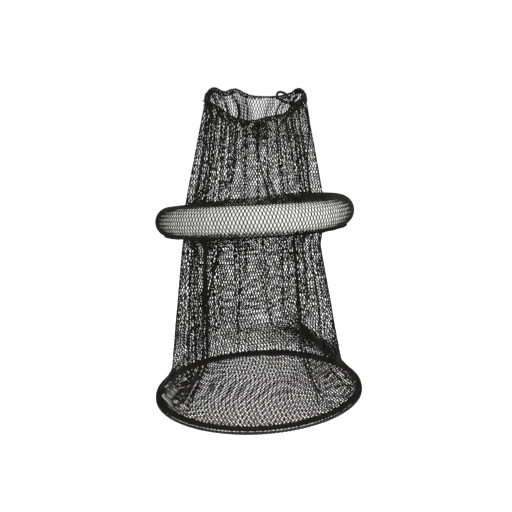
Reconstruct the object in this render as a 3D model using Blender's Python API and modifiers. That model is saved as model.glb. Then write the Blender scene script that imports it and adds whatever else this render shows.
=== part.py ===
"""Floating bait keeper net, hanging open by its mouth as it is carried.

Metres, +Z up. The origin is the middle of the mouth, and -Y is the front. A gathered tube of
netting hangs from the drawstring at the mouth, passes inside a foam float ring and ends on a
coated steel hoop that carries the bottom net.
"""

import math

import bmesh
import bpy
from mathutils import Euler, Matrix, Vector

# Fits
CLEARANCE = 0.0003
STRANDS_ROUND = 24
RING_STEPS = 2 * STRANDS_ROUND
FIRST_AZIMUTH = 4.5

# Netting
NET_THICKNESS = 0.0012
SEAM_DIAMETER = 0.0024
CORD_SIDES = 6

# Mouth: the drawstring's route round the rim, (x, y, z), anticlockwise seen from above
CORD_DIAMETER = 0.003
RIM_STEPS = 12
RIM_ROUTE = (
    (0.090, 0.000, 0.016),
    (0.080, 0.040, 0.024),
    (0.063, 0.060, 0.013),
    (0.035, 0.075, 0.006),
    (-0.008, 0.082, 0.007),
    (-0.039, 0.074, 0.020),
    (-0.060, 0.062, 0.016),
    (-0.078, 0.044, 0.025),
    (-0.088, 0.022, 0.020),
    (-0.092, 0.000, 0.012),
    (-0.086, -0.029, 0.007),
    (-0.067, -0.056, 0.000),
    (-0.056, -0.065, -0.007),
    (-0.041, -0.073, -0.016),
    (-0.022, -0.080, -0.021),
    (0.002, -0.082, -0.020),
    (0.028, -0.078, -0.014),
    (0.047, -0.070, -0.012),
    (0.058, -0.063, -0.005),
    (0.065, -0.057, 0.002),
    (0.072, -0.050, 0.008),
    (0.083, -0.030, 0.012),
)
BAND_HEIGHT = 0.010
BAND_THICKNESS = 0.0024

# Drawstring's tied ends, and how finely their routes are drawn
ROUTE_STEPS = 8
BOW_POINTS = 24
TAIL_POINTS = 40
KNOT_WIDTH = 0.010
KNOT_HEIGHT = 0.008
KNOT_RIM_POINT = 19
BOW_ROUTE = (
    (0.0571, -0.0595, 0.0080),
    (0.0525, -0.0592, 0.0090),
    (0.0475, -0.0585, 0.0112),
    (0.0425, -0.0580, 0.0135),
    (0.0382, -0.0580, 0.0172),
    (0.0370, -0.0580, 0.0220),
    (0.0395, -0.0580, 0.0262),
    (0.0450, -0.0580, 0.0270),
    (0.0510, -0.0580, 0.0245),
    (0.0560, -0.0578, 0.0205),
    (0.0593, -0.0582, 0.0162),
    (0.0608, -0.0588, 0.0127),
)
TAIL_ROUTE = (
    (0.0677, -0.0605, 0.0072),
    (0.0738, -0.0575, 0.0060),
    (0.0810, -0.0500, 0.0025),
    (0.0870, -0.0410, -0.0020),
    (0.0918, -0.0335, -0.0085),
    (0.0945, -0.0290, -0.0175),
    (0.0960, -0.0285, -0.0285),
    (0.0965, -0.0310, -0.0410),
    (0.0963, -0.0360, -0.0535),
    (0.0950, -0.0430, -0.0655),
    (0.0935, -0.0500, -0.0775),
    (0.0925, -0.0555, -0.0895),
    (0.0927, -0.0595, -0.1015),
    (0.0937, -0.0625, -0.1130),
    (0.0945, -0.0660, -0.1240),
    (0.0950, -0.0697, -0.1350),
    (0.0960, -0.0733, -0.1460),
)
TAIL_KNOT_WIDTH = 0.006
TAIL_KNOT_HEIGHT = 0.007

# Gathered netting at the top of the side seam
GATHER_WIDTH = 0.030
GATHER_HEIGHT = 0.032
GATHER_DEPTH = 0.006
GATHER_DOWN = 0.045

# Float ring
FLOAT_CENTRE = (-0.0025, 0.0, -0.209)
FLOAT_FRONT_UP = 8.7
FLOAT_RIGHT_UP = 4.4
FLOAT_MEAN_DIAMETER = 0.318
FOAM_DIAMETER = 0.0548
FOAM_BORE = 0.018
FOAM_SIDES = 12
BORE_SIDES = 8
JOINT_GAP = 0.0004
SLOT_REACH = 1.2
PLUG_HALF_ANGLE = 12.5
SLEEVE_OPEN_ANGLE = 12.0

# Bottom hoop
HOOP_CENTRE = (0.0056, 0.0, -0.562)
HOOP_RIGHT_UP = 3.0
HOOP_OUTER_DIAMETER = 0.406
HOOP_WIRE_DIAMETER = 0.0052
HEM_DIAMETER = 0.010
HEM_ABOVE_ANGLE = 60.0
STITCHING_ANGLE = 45.0
HOOP_SIDES = 8
BOTTOM_MESH_PITCH = 0.028
BOTTOM_MESH_STRAND = 0.005
BOTTOM_EDGE_WIDTH = 0.007

# Netting walls: where they meet the float, and their main folds as (azimuth, depth, half width)
UPPER_MEETS_AT = 150.0
UPPER_ENDS_AT = 172.0
LOWER_STARTS_AT = -172.0
UPPER_NARROWING = 0.07
LOWER_NARROWING = 0.04
LOWER_SWAY = -0.0095
LOWER_SWAYS_FROM = 0.15
LOWER_STRAIGHT = 0.16
LOWER_SLOPE = 0.75
LOWER_FLARE = 0.37
FLARE_POWER = 14
UPPER_SEAM_AZIMUTH = -85.5
LOWER_SEAM_AZIMUTH = -55.5
UPPER_FOLDS = (
    (-147.0, 0.005, 8.0),
    (-116.0, 0.006, 9.0),
    (-85.5, 0.004, 8.0),
    (-48.0, 0.007, 9.0),
    (14.0, 0.004, 9.0),
    (48.0, 0.006, 8.0),
    (96.0, 0.005, 10.0),
    (138.0, 0.006, 8.0),
)
LOWER_FOLDS = (
    (-130.0, 0.008, 9.0),
    (-98.0, 0.005, 8.0),
    (-55.5, 0.008, 9.0),
    (-20.0, 0.004, 9.0),
    (22.0, 0.006, 8.0),
    (70.0, 0.005, 10.0),
    (115.0, 0.007, 8.0),
    (158.0, 0.005, 9.0),
)

# Openings in the two walls, a plain grid that stands for the mesh, in shares of the way down
STRAND_HALF_ANGLE = 1.3
STRAND_SHARE = 0.2
UPPER_OPEN_FROM = 0.10
UPPER_OPEN_TO = 0.92
UPPER_OPEN_ROWS = 4
LOWER_OPEN_FROM = 0.07
LOWER_OPEN_TO = 0.95
LOWER_OPEN_ROWS = 6
LOWER_FLARES_AT = 0.97

# Radii that the sizes above give
CORD_RADIUS = CORD_DIAMETER / 2
SEAM_RADIUS = SEAM_DIAMETER / 2
FLOAT_RADIUS = FLOAT_MEAN_DIAMETER / 2
FOAM_RADIUS = FOAM_DIAMETER / 2
SLEEVE_INNER = FOAM_RADIUS + CLEARANCE
SLEEVE_OUTER = SLEEVE_INNER + NET_THICKNESS
NET_ON_SLEEVE = SLEEVE_OUTER + CLEARANCE
WIRE_RADIUS = HOOP_WIRE_DIAMETER / 2
HEM_RADIUS = HEM_DIAMETER / 2
WIRE_RING_RADIUS = HOOP_OUTER_DIAMETER / 2 - WIRE_RADIUS
WIRE_TO_HEM = WIRE_RADIUS + HEM_RADIUS + CLEARANCE
HEM_RING_RADIUS = WIRE_RING_RADIUS - WIRE_TO_HEM * math.cos(math.radians(HEM_ABOVE_ANGLE))
HEM_RISE = WIRE_TO_HEM * math.sin(math.radians(HEM_ABOVE_ANGLE))


def ring_frame(centre, front_up, right_up):
    """Where a ring lies: its centre, and its tilts in degrees."""
    turn = Euler((-math.radians(front_up), -math.radians(right_up), 0.0), "XYZ")
    return Matrix.Translation(centre) @ turn.to_matrix().to_4x4()


FLOAT_FRAME = ring_frame(FLOAT_CENTRE, FLOAT_FRONT_UP, FLOAT_RIGHT_UP)
HOOP_FRAME = ring_frame(HOOP_CENTRE, 0.0, HOOP_RIGHT_UP)


# Points on rings and routes


def on_ring(frame, azimuth, radius, height):
    """A point at an azimuth in radians, in a ring's own frame, brought to the world."""
    return frame @ Vector((radius * math.cos(azimuth), radius * math.sin(azimuth), height))


def round_float(azimuth, section_degrees, distance):
    """A point beside the float's tube: 0 degrees is its outer side and 90 its top."""
    section = math.radians(section_degrees)
    radius = FLOAT_RADIUS + distance * math.cos(section)
    return on_ring(FLOAT_FRAME, azimuth, radius, distance * math.sin(section))


def smooth(points, steps, closed):
    """Points along a smooth curve through a route's own points."""
    nodes = [Vector(p) for p in points]
    count = len(nodes)
    spans = count if closed else count - 1
    found = []
    for i in range(spans):
        before = nodes[i - 1] if closed or i else nodes[0] * 2 - nodes[1]
        start, end = nodes[i], nodes[(i + 1) % count]
        last = not closed and i == spans - 1
        after = end * 2 - start if last else nodes[(i + 2) % count]
        for j in range(steps):
            t = j / steps
            bend = (after - before + (start - end) * 3) * t**3
            curve = (before * 2 - start * 5 + end * 4 - after) * t**2
            found.append((start * 2 + (end - before) * t + curve + bend) / 2)
    if not closed:
        found.append(nodes[-1].copy())
    return found


def evenly(line, count):
    """The same open line with a given number of points at equal distances."""
    lengths = [0.0]
    for a, b in zip(line, line[1:]):
        lengths.append(lengths[-1] + (b - a).length)
    found, at = [], 0
    for i in range(count):
        target = lengths[-1] * i / (count - 1)
        while at < len(line) - 2 and lengths[at + 1] < target:
            at += 1
        share = (target - lengths[at]) / (lengths[at + 1] - lengths[at])
        found.append(line[at].lerp(line[at + 1], share))
    return found


RIM_LINE = smooth(RIM_ROUTE, RIM_STEPS, True)


def on_rim(azimuth):
    """The drawstring's centre at an azimuth in radians."""
    turn = 2 * math.pi

    def ahead(point):
        return (math.atan2(point.y, point.x) - azimuth) % turn

    after = min(range(len(RIM_LINE)), key=lambda i: ahead(RIM_LINE[i]))
    a, b = RIM_LINE[after - 1], RIM_LINE[after]
    behind = turn - ahead(a)
    return a.lerp(b, behind / (behind + ahead(b)))


# The netting's two walls, by azimuth in radians and the share of the way down


def fold_depth(azimuth, folds):
    """How far the folds draw a wall in at an azimuth."""
    depth = 0.0
    for centre, deepest, half_width in folds:
        away = (math.degrees(azimuth) - centre + 180.0) % 360.0 - 180.0
        depth += deepest * math.exp(-((away / half_width) ** 2))
    return depth


def drawn_in(point, depth):
    """A point moved towards the Z axis."""
    across = Vector((point.x, point.y, 0.0))
    return point - across.normalized() * depth


def upper_wall(azimuth, down):
    """The outer face of the netting from the mouth's band to the float."""
    top = on_rim(azimuth)
    top = drawn_in(top, -NET_THICKNESS / 2)
    top.z -= CORD_RADIUS + CLEARANCE + BAND_HEIGHT + CLEARANCE
    point = top.lerp(round_float(azimuth, UPPER_MEETS_AT, NET_ON_SLEEVE), down)
    swell = math.sin(math.pi * down)
    point.y *= 1 - UPPER_NARROWING * swell
    return drawn_in(point, fold_depth(azimuth, UPPER_FOLDS) * swell)


def lower_wall(azimuth, down):
    """The outer face of the netting from the float to the hoop's hem."""
    top = round_float(azimuth, LOWER_STARTS_AT, NET_ON_SLEEVE)
    hem_top = HEM_RISE + HEM_RADIUS + NET_THICKNESS
    end = on_ring(HOOP_FRAME, azimuth, HEM_RING_RADIUS + NET_THICKNESS / 2, hem_top)
    spread = LOWER_SLOPE * max(0.0, down - LOWER_STRAIGHT) + LOWER_FLARE * down**FLARE_POWER
    point = top.lerp(end, spread)
    point.z = top.z + (end.z - top.z) * down
    swell = math.sin(math.pi * down)
    point.x += LOWER_SWAY * (1 - down) * min(1.0, down / LOWER_SWAYS_FROM)
    point.y *= 1 - LOWER_NARROWING * swell
    return drawn_in(point, fold_depth(azimuth, LOWER_FOLDS) * swell)


# Objects


def start_scene():
    """An empty scene with one collection for the parts and one for the cutters."""
    for obj in list(bpy.data.objects):
        bpy.data.objects.remove(obj)
    scene = bpy.context.scene
    scene.unit_settings.scale_length = 1.0
    found = []
    for name in ("bait_keeper_net", "cutters"):
        collection = bpy.data.collections.new(name)
        scene.collection.children.link(collection)
        found.append(collection)
    return found


PARTS, CUTTERS = start_scene()


def material(name, colour, roughness, metallic=0.0):
    """A plain finish."""
    made = bpy.data.materials.new(name)
    made.use_nodes = True
    shader = made.node_tree.nodes["Principled BSDF"]
    shader.inputs["Base Color"].default_value = (*colour, 1.0)
    shader.inputs["Roughness"].default_value = roughness
    shader.inputs["Metallic"].default_value = metallic
    return made


NETTING = material("black_netting", (0.012, 0.012, 0.013), 0.6)
CORD = material("black_cord", (0.010, 0.010, 0.011), 0.5)
FOAM = material("white_foam", (0.80, 0.80, 0.78), 0.7)
COATED_STEEL = material("black_coated_steel", (0.010, 0.010, 0.010), 0.25)
PLUG = material("grey_plastic", (0.30, 0.30, 0.31), 0.5)


def carrier(name, point, parent):
    """An empty that a moving ring's pieces hang on, on the vertical slide's axis."""
    empty = bpy.data.objects.new(name, None)
    empty.location = point
    PARTS.objects.link(empty)
    bpy.context.view_layer.update()
    if parent:
        empty.parent = parent
        empty.matrix_parent_inverse = parent.matrix_world.inverted()
        bpy.context.view_layer.update()
    return empty


def settle(obj, name, finish, parent=None, collection=None):
    """Names an object, gives it its finish and hangs it on its carrier."""
    obj.name = name
    for old in list(obj.users_collection):
        old.objects.unlink(obj)
    (collection or PARTS).objects.link(obj)
    if finish:
        obj.data.materials.append(finish)
    if parent:
        obj.parent = parent
        obj.matrix_parent_inverse = parent.matrix_world.inverted()
    return obj


def shade_round(obj):
    """Smooth shading with edges kept sharp past 40 degrees."""
    obj.data.shade_smooth()
    obj.data.set_sharp_from_angle(angle=math.radians(40))


def torus(frame, radius, tube_radius, sides, height=0.0):
    """A plain ring in a ring's frame, lifted by height along its axis."""
    place = frame @ Vector((0.0, 0.0, height))
    turned = frame @ Matrix.Rotation(math.radians(FIRST_AZIMUTH), 4, "Z")
    bpy.ops.mesh.primitive_torus_add(
        location=place,
        rotation=turned.to_euler(),
        major_segments=RING_STEPS,
        minor_segments=sides,
        major_radius=radius,
        minor_radius=tube_radius,
    )
    obj = bpy.context.active_object
    shade_round(obj)
    return obj


def tube(points, radius, closed=False, sides=CORD_SIDES):
    """A cord along the points."""
    curve = bpy.data.curves.new("cord", "CURVE")
    curve.dimensions = "3D"
    curve.bevel_depth = radius
    curve.bevel_resolution = (sides - 4) // 2
    curve.use_fill_caps = not closed
    spline = curve.splines.new("POLY")
    spline.points.add(len(points) - 1)
    for place, point in zip(spline.points, points):
        place.co = (*point, 1.0)
    spline.use_cyclic_u = closed
    spline.use_smooth = True
    return bpy.data.objects.new("cord", curve)


def skin(rings, thickness, offset, open_bands=()):
    """A closed skin from rings of points, where an open band keeps every second face."""
    mesh = bpy.data.meshes.new("skin")
    shape = bmesh.new()
    rows = [[shape.verts.new(p) for p in ring] for ring in rings]
    for band, (upper, lower) in enumerate(zip(rows, rows[1:])):
        for i, corner in enumerate(upper):
            if band in open_bands and i % 2 == 0:
                continue
            shape.faces.new((corner, upper[i - 1], lower[i - 1], lower[i]))
    shape.normal_update()
    shape.to_mesh(mesh)
    shape.free()
    obj = bpy.data.objects.new("skin", mesh)
    solid = obj.modifiers.new("thickness", "SOLIDIFY")
    solid.thickness = thickness
    solid.offset = offset
    solid.use_even_offset = True
    shade_round(obj)
    return obj


def azimuths():
    """The azimuths that every ring shares; both seams lie on one."""
    first = math.radians(FIRST_AZIMUTH)
    return [first + 2 * math.pi * i / RING_STEPS for i in range(RING_STEPS)]


def strand_sides():
    """The azimuths of the two sides of each strand; both seams lie on a strand."""
    half = math.radians(STRAND_HALF_ANGLE)
    found = []
    for azimuth in azimuths()[::2]:
        found += [azimuth - half, azimuth + half]
    return found


def open_rows(first, last, count):
    """Where each row of openings starts and ends on the way down, in one list."""
    pitch = (last - first) / count
    found = []
    for i in range(count):
        found += [first + i * pitch, first + (i + 1 - STRAND_SHARE) * pitch]
    return found


def netting_wall(wall, openings, further):
    """A wall with its grid of openings, from its top edge to the further rings below them."""
    rings = [[wall(a, 0.0) for a in azimuths()]]
    rings += [[wall(a, down) for a in strand_sides()] for down in openings]
    return skin(rings + further, NET_THICKNESS, -1.0, range(1, len(openings), 2))


def seam(wall, azimuth_degrees, rows):
    """A sewn seam lying along the outer face of a wall, from row to row."""
    azimuth = math.radians(azimuth_degrees)
    aside = SEAM_RADIUS + 2 * CLEARANCE
    return tube([drawn_in(wall(azimuth, down), -aside) for down in rows], SEAM_RADIUS)


def ellipsoid(centre, width, depth, height):
    """A rounded lump."""
    bpy.ops.mesh.primitive_uv_sphere_add(segments=12, ring_count=8, radius=0.5, location=centre)
    obj = bpy.context.active_object
    obj.scale = (width, depth, height)
    bpy.ops.object.transform_apply(location=False, rotation=False, scale=True)
    shade_round(obj)
    return obj


# Mouth


def make_drawstring():
    """The cord round the rim, its knot, its bow and its hanging tail."""
    rim = [on_rim(azimuth) for azimuth in azimuths()]
    settle(tube(rim, CORD_RADIUS, closed=True), "drawstring_rim", CORD)
    before, at_rim, after = (Vector(RIM_ROUTE[KNOT_RIM_POINT + i]) for i in (-1, 0, 1))
    along = (after - before).normalized()
    lift = Vector((0.0, 0.0, 1.0)) - along * along.z
    centre = at_rim + lift.normalized() * (CORD_RADIUS + KNOT_WIDTH / 2 + CLEARANCE)
    knot = ellipsoid(centre, KNOT_WIDTH, KNOT_WIDTH, KNOT_HEIGHT)
    settle(knot, "drawstring_knot", CORD)
    bow = evenly(smooth(BOW_ROUTE, ROUTE_STEPS, False), BOW_POINTS)
    settle(tube(bow, CORD_RADIUS), "drawstring_bow", CORD)
    tail = evenly(smooth(TAIL_ROUTE, ROUTE_STEPS, False), TAIL_POINTS)
    settle(tube(tail, CORD_RADIUS), "drawstring_tail", CORD)
    below = tail[-1] + Vector((0.0, 0.0, -TAIL_KNOT_HEIGHT / 2 - CLEARANCE))
    below = drawn_in(below, CORD_RADIUS - TAIL_KNOT_WIDTH / 2 - 2 * CLEARANCE)
    end_knot = ellipsoid(below, TAIL_KNOT_WIDTH, TAIL_KNOT_WIDTH, TAIL_KNOT_HEIGHT)
    settle(end_knot, "tail_knot", CORD)


def make_mouth_band():
    """The doubled top rows of netting that the drawstring gathers."""
    rings = []
    for drop in (0.0, BAND_HEIGHT):
        ring = []
        for azimuth in azimuths():
            point = on_rim(azimuth)
            point.z -= CORD_RADIUS + CLEARANCE + drop
            ring.append(point)
        rings.append(ring)
    settle(skin(rings, BAND_THICKNESS, 0.0), "mouth_band", NETTING)


def make_upper_net():
    """The netting from the mouth to the float's inner side, its seam and the gather at its top."""
    openings = open_rows(UPPER_OPEN_FROM, UPPER_OPEN_TO, UPPER_OPEN_ROWS)
    meeting = [upper_wall(a, 1.0) for a in azimuths()]
    on_float = [round_float(a, UPPER_ENDS_AT, NET_ON_SLEEVE) for a in azimuths()]
    settle(netting_wall(upper_wall, openings, [meeting, on_float]), "upper_net", NETTING)
    settle(seam(upper_wall, UPPER_SEAM_AZIMUTH, openings[2:]), "upper_seam", CORD)
    azimuth = math.radians(UPPER_SEAM_AZIMUTH)
    centre = drawn_in(upper_wall(azimuth, GATHER_DOWN), -GATHER_DEPTH / 2 - 2 * CLEARANCE)
    gather = ellipsoid(centre, GATHER_WIDTH, GATHER_DEPTH, GATHER_HEIGHT)
    high, low = (upper_wall(azimuth, down) for down in (0.0, 2 * GATHER_DOWN))
    lean = math.atan2(low.xy.length - high.xy.length, high.z - low.z)
    gather.rotation_euler = (-lean, 0.0, azimuth + math.pi / 2)
    settle(gather, "seam_gather", NETTING)


# Float ring


def make_float(parent):
    """The foam tube bent to a ring, its joint plug, its netting sleeve and the lacing cord."""
    joint = math.pi / 2
    foam = torus(FLOAT_FRAME, FLOAT_RADIUS, FOAM_RADIUS, FOAM_SIDES)
    bore = torus(FLOAT_FRAME, FLOAT_RADIUS, FOAM_BORE / 2, BORE_SIDES)
    place = round_float(joint, 0.0, 0.0)
    bpy.ops.mesh.primitive_cube_add(size=1.0, location=place, rotation=FLOAT_FRAME.to_euler())
    slot = bpy.context.active_object
    slot.scale = (JOINT_GAP, FOAM_DIAMETER * SLOT_REACH, FOAM_DIAMETER * SLOT_REACH)
    bpy.ops.object.transform_apply(location=False, rotation=False, scale=True)
    for cutter, name in ((bore, "foam_bore_cutter"), (slot, "foam_joint_cutter")):
        settle(cutter, name, None, parent, CUTTERS)
        cutter.hide_render = True
        cutter.display_type = "WIRE"
        cut = foam.modifiers.new(name, "BOOLEAN")
        cut.operation = "DIFFERENCE"
        cut.solver = "EXACT"
        cut.object = cutter
    settle(foam, "foam_float", FOAM, parent)

    plug_radius = FOAM_BORE / 2 * math.cos(math.pi / BORE_SIDES) - CLEARANCE
    half = math.radians(PLUG_HALF_ANGLE)
    line = [round_float(a, 0.0, 0.0) for a in azimuths() if abs(a - joint) < half]
    settle(tube(line, plug_radius, sides=BORE_SIDES), "float_joint_plug", PLUG, parent)

    sections = [180 - SLEEVE_OPEN_ANGLE / 2]
    sections += [180 - 360 * i / FOAM_SIDES for i in range(1, FOAM_SIDES)]
    sections += [-180 + SLEEVE_OPEN_ANGLE / 2]
    rings = [[round_float(a, s, SLEEVE_INNER) for a in azimuths()] for s in sections]
    settle(skin(rings, NET_THICKNESS, 1.0), "float_sleeve", NETTING, parent)

    distance = FOAM_RADIUS + CLEARANCE + SEAM_RADIUS
    lacing = torus(FLOAT_FRAME, FLOAT_RADIUS - distance, SEAM_RADIUS, CORD_SIDES)
    settle(lacing, "float_lacing", CORD, parent)


def make_lower_net(parent):
    """The netting from the float's inner side to the bottom hoop, and its seam."""
    openings = open_rows(LOWER_OPEN_FROM, LOWER_OPEN_TO, LOWER_OPEN_ROWS)
    flaring = [[lower_wall(a, down) for a in azimuths()] for down in (LOWER_FLARES_AT, 1.0)]
    settle(netting_wall(lower_wall, openings, flaring), "lower_net", NETTING, parent)
    line = seam(lower_wall, LOWER_SEAM_AZIMUTH, openings + [LOWER_FLARES_AT])
    settle(line, "lower_seam", CORD, parent)


# Bottom hoop


def mesh_cells():
    """The centres of the bottom net's cells, in rows that are staggered by half a cell."""
    reach = HEM_RING_RADIUS - HEM_RADIUS - BOTTOM_EDGE_WIDTH - BOTTOM_MESH_PITCH / 2
    row_pitch = BOTTOM_MESH_PITCH * math.sqrt(3) / 2
    rows = int(reach / row_pitch)
    columns = int(reach / BOTTOM_MESH_PITCH) + 1
    for row in range(-rows, rows + 1):
        shift = 0.5 * (row % 2)
        for column in range(-columns, columns + 1):
            centre = ((column + shift) * BOTTOM_MESH_PITCH, row * row_pitch)
            if math.hypot(*centre) <= reach:
                yield centre


def flat_ring(curve, centre, radius, corners, first):
    """A closed outline of straight sides in a flat curve."""
    spline = curve.splines.new("POLY")
    spline.points.add(corners - 1)
    for i, place in enumerate(spline.points):
        angle = first + 2 * math.pi * i / corners
        x = centre[0] + radius * math.cos(angle)
        y = centre[1] + radius * math.sin(angle)
        place.co = (x, y, 0.0, 1.0)
    spline.use_cyclic_u = True


def make_bottom(parent):
    """The coated steel hoop, the hem of netting on it, its stitching and the bottom net."""
    wire = torus(HOOP_FRAME, WIRE_RING_RADIUS, WIRE_RADIUS, HOOP_SIDES)
    settle(wire, "bottom_hoop", COATED_STEEL, parent)
    hem = torus(HOOP_FRAME, HEM_RING_RADIUS, HEM_RADIUS, HOOP_SIDES, HEM_RISE)
    settle(hem, "hoop_hem", NETTING, parent)

    aside = HEM_RADIUS + CLEARANCE + SEAM_RADIUS
    up = math.radians(STITCHING_ANGLE)
    radius = HEM_RING_RADIUS + aside * math.cos(up)
    height = HEM_RISE + aside * math.sin(up)
    stitch = torus(HOOP_FRAME, radius, SEAM_RADIUS, CORD_SIDES, height)
    settle(stitch, "hem_stitching", CORD, parent)

    curve = bpy.data.curves.new("bottom_net", "CURVE")
    curve.dimensions = "2D"
    curve.fill_mode = "BOTH"
    curve.extrude = NET_THICKNESS / 2
    edge = HEM_RING_RADIUS - HEM_RADIUS - CLEARANCE
    flat_ring(curve, (0.0, 0.0), edge, RING_STEPS, math.radians(FIRST_AZIMUTH))
    cell = (BOTTOM_MESH_PITCH - BOTTOM_MESH_STRAND) / math.sqrt(3)
    for centre in mesh_cells():
        flat_ring(curve, centre, cell, 6, math.radians(30))
    net = bpy.data.objects.new("bottom_net", curve)
    net.location = HOOP_FRAME @ Vector((0.0, 0.0, HEM_RISE))
    net.rotation_euler = HOOP_FRAME.to_euler()
    settle(net, "bottom_net", NETTING, parent)


def build():
    """The whole net."""
    float_carrier = carrier("float_carrier", (0.0, 0.0, FLOAT_CENTRE[2]), None)
    hoop_carrier = carrier("hoop_carrier", (0.0, 0.0, HOOP_CENTRE[2]), float_carrier)
    make_drawstring()
    make_mouth_band()
    make_upper_net()
    make_float(float_carrier)
    make_lower_net(float_carrier)
    make_bottom(hoop_carrier)
    bpy.context.view_layer.update()


build()
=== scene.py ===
"""Looks of a floating bait keeper net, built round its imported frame.

Metres, +Z up. The origin is the middle of the mouth, and -Y is the front. Every strand of the
netting is real geometry: knitted chains that zigzag from joint to joint, laid on the walls that
hang from the drawstring, through the foam float, to the hoop.
"""

import logging
import math
from dataclasses import dataclass, replace
from enum import Enum
from typing import Any, Callable, Sequence

import bpy
import numpy as np
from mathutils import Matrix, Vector


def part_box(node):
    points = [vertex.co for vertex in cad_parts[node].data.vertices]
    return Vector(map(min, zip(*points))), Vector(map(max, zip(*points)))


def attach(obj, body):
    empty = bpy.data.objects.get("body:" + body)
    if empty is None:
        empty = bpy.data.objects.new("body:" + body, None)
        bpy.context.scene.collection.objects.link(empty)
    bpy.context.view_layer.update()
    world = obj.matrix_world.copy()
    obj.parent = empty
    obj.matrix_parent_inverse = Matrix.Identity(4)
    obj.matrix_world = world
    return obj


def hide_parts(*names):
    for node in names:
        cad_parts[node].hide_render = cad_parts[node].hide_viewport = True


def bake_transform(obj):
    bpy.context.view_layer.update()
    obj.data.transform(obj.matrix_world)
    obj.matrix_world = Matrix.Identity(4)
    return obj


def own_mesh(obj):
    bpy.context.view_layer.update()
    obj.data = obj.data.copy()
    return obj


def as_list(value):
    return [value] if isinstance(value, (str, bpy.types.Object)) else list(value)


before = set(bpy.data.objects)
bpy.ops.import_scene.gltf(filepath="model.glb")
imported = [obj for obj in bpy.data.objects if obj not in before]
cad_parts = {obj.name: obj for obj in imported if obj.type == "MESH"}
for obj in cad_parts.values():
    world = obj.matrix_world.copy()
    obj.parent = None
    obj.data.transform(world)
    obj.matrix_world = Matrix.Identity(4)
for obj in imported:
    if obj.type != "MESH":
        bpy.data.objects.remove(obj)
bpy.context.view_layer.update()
LOG = logging.getLogger("bait_keeper_net")

TURN = 2 * math.pi
UPWARD = (0.0, 0.0, 1.0)
WHITE = (1.0, 1.0, 1.0, 1.0)
Array = np.ndarray
Colour = tuple[float, float, float]
Place = Callable[[Array, float], Array]
Route = tuple[tuple[float, float, float], ...]
QUARTERS = np.radians((0.0, 90.0, 180.0, 270.0))
SLIP_WAVES = (31, 47, 61)


class Body(Enum):
    """The bodies of the frame that pieces ride on."""

    MOUTH = "mouth_rim"
    FLOAT = "float_ring"
    HOOP = "bottom_ring"


class Slot(Enum):
    """The record's material slots that the pieces use."""

    NETTING = "netting"
    CORD = "cord"
    FOAM = "foam"
    STEEL = "coated_steel"


@dataclass(frozen=True)
class Slide:
    """A slide between two bodies, with the heights between which its netting is spread."""

    parent: Body
    child: Body
    start: float
    end: float


# Node trees


class Graph:
    """Builds one node tree with named inputs and outputs."""

    def __init__(self, tree: bpy.types.NodeTree) -> None:
        """Wraps an existing tree.

        Args:
            tree: The tree that nodes are added to.
        """
        self.tree = tree

    @classmethod
    def group(cls, name: str, kind: str, inputs: Sequence[tuple], outputs: Sequence[tuple]) -> "Graph":
        """A new node group with its sockets.

        Args:
            name: The group's name.
            kind: The tree's type, for geometry or shading.
            inputs: Each input's name and kind, and its default value where it has one.
            outputs: Each output's name and kind.

        Returns:
            The graph round the new group.
        """
        tree = bpy.data.node_groups.new(name, kind)
        for way, sockets in (("INPUT", inputs), ("OUTPUT", outputs)):
            for socket, carried, *value in sockets:
                made = tree.interface.new_socket(name=socket, in_out=way, socket_type=f"NodeSocket{carried}")
                if value:
                    made.default_value = value[0]
        return cls(tree)

    def add(self, kind: str, inputs: dict | None = None, **settings: Any) -> bpy.types.Node:
        """Adds a node, sets it and feeds it.

        Args:
            kind: The node's type.
            inputs: Values or sockets, by input name or index.
            **settings: The node's own settings.

        Returns:
            The new node.
        """
        node = self.tree.nodes.new(kind)
        for name, value in settings.items():
            setattr(node, name, value)
        self.feed(node, inputs or {})
        return node

    def feed(self, node: bpy.types.Node, inputs: dict) -> None:
        """Sets or links a node's inputs, by name or index."""
        for key, value in inputs.items():
            if isinstance(value, bpy.types.NodeSocket):
                self.tree.links.new(value, node.inputs[key])
            else:
                node.inputs[key].default_value = value

    def math(self, operation: str, *values: Any) -> bpy.types.NodeSocket:
        """The result of a scalar operation on values or sockets."""
        return self.add("ShaderNodeMath", dict(enumerate(values)), operation=operation).outputs[0]

    def vector(self, operation: str, *values: Any) -> bpy.types.NodeSocket:
        """The result of a vector operation on vectors or sockets."""
        return self.add("ShaderNodeVectorMath", dict(enumerate(values)), operation=operation).outputs[0]

    def scaled(self, vector: bpy.types.NodeSocket, scale: Any) -> bpy.types.NodeSocket:
        """A vector times a number."""
        inputs = {0: vector, "Scale": scale}
        return self.add("ShaderNodeVectorMath", inputs, operation="SCALE").outputs[0]

    def combine(self, x: Any = 0.0, y: Any = 0.0, z: Any = 0.0) -> bpy.types.NodeSocket:
        """A vector from three values or sockets."""
        return self.add("ShaderNodeCombineXYZ", {"X": x, "Y": y, "Z": z}).outputs[0]

    def noise(self, place: bpy.types.NodeSocket, size: Any, detail: float) -> Any:
        """The outputs of a noise texture whose features have a size in metres."""
        scale = self.math("DIVIDE", 1.0, size)
        return self.add("ShaderNodeTexNoise", {"Vector": place, "Scale": scale, "Detail": detail}).outputs

    def mapped(self, value: Any, *ends: float) -> bpy.types.NodeSocket:
        """A value moved from one range to another, given both ranges' ends."""
        return self.add("ShaderNodeMapRange", {0: value, **dict(enumerate(ends, 1))}).outputs[0]


# Finishes


RELIEF_SOCKETS = (("Shade", "Float"), ("Height", "Float"))
NOISE_RANGE = (0.3, 0.7)


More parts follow.
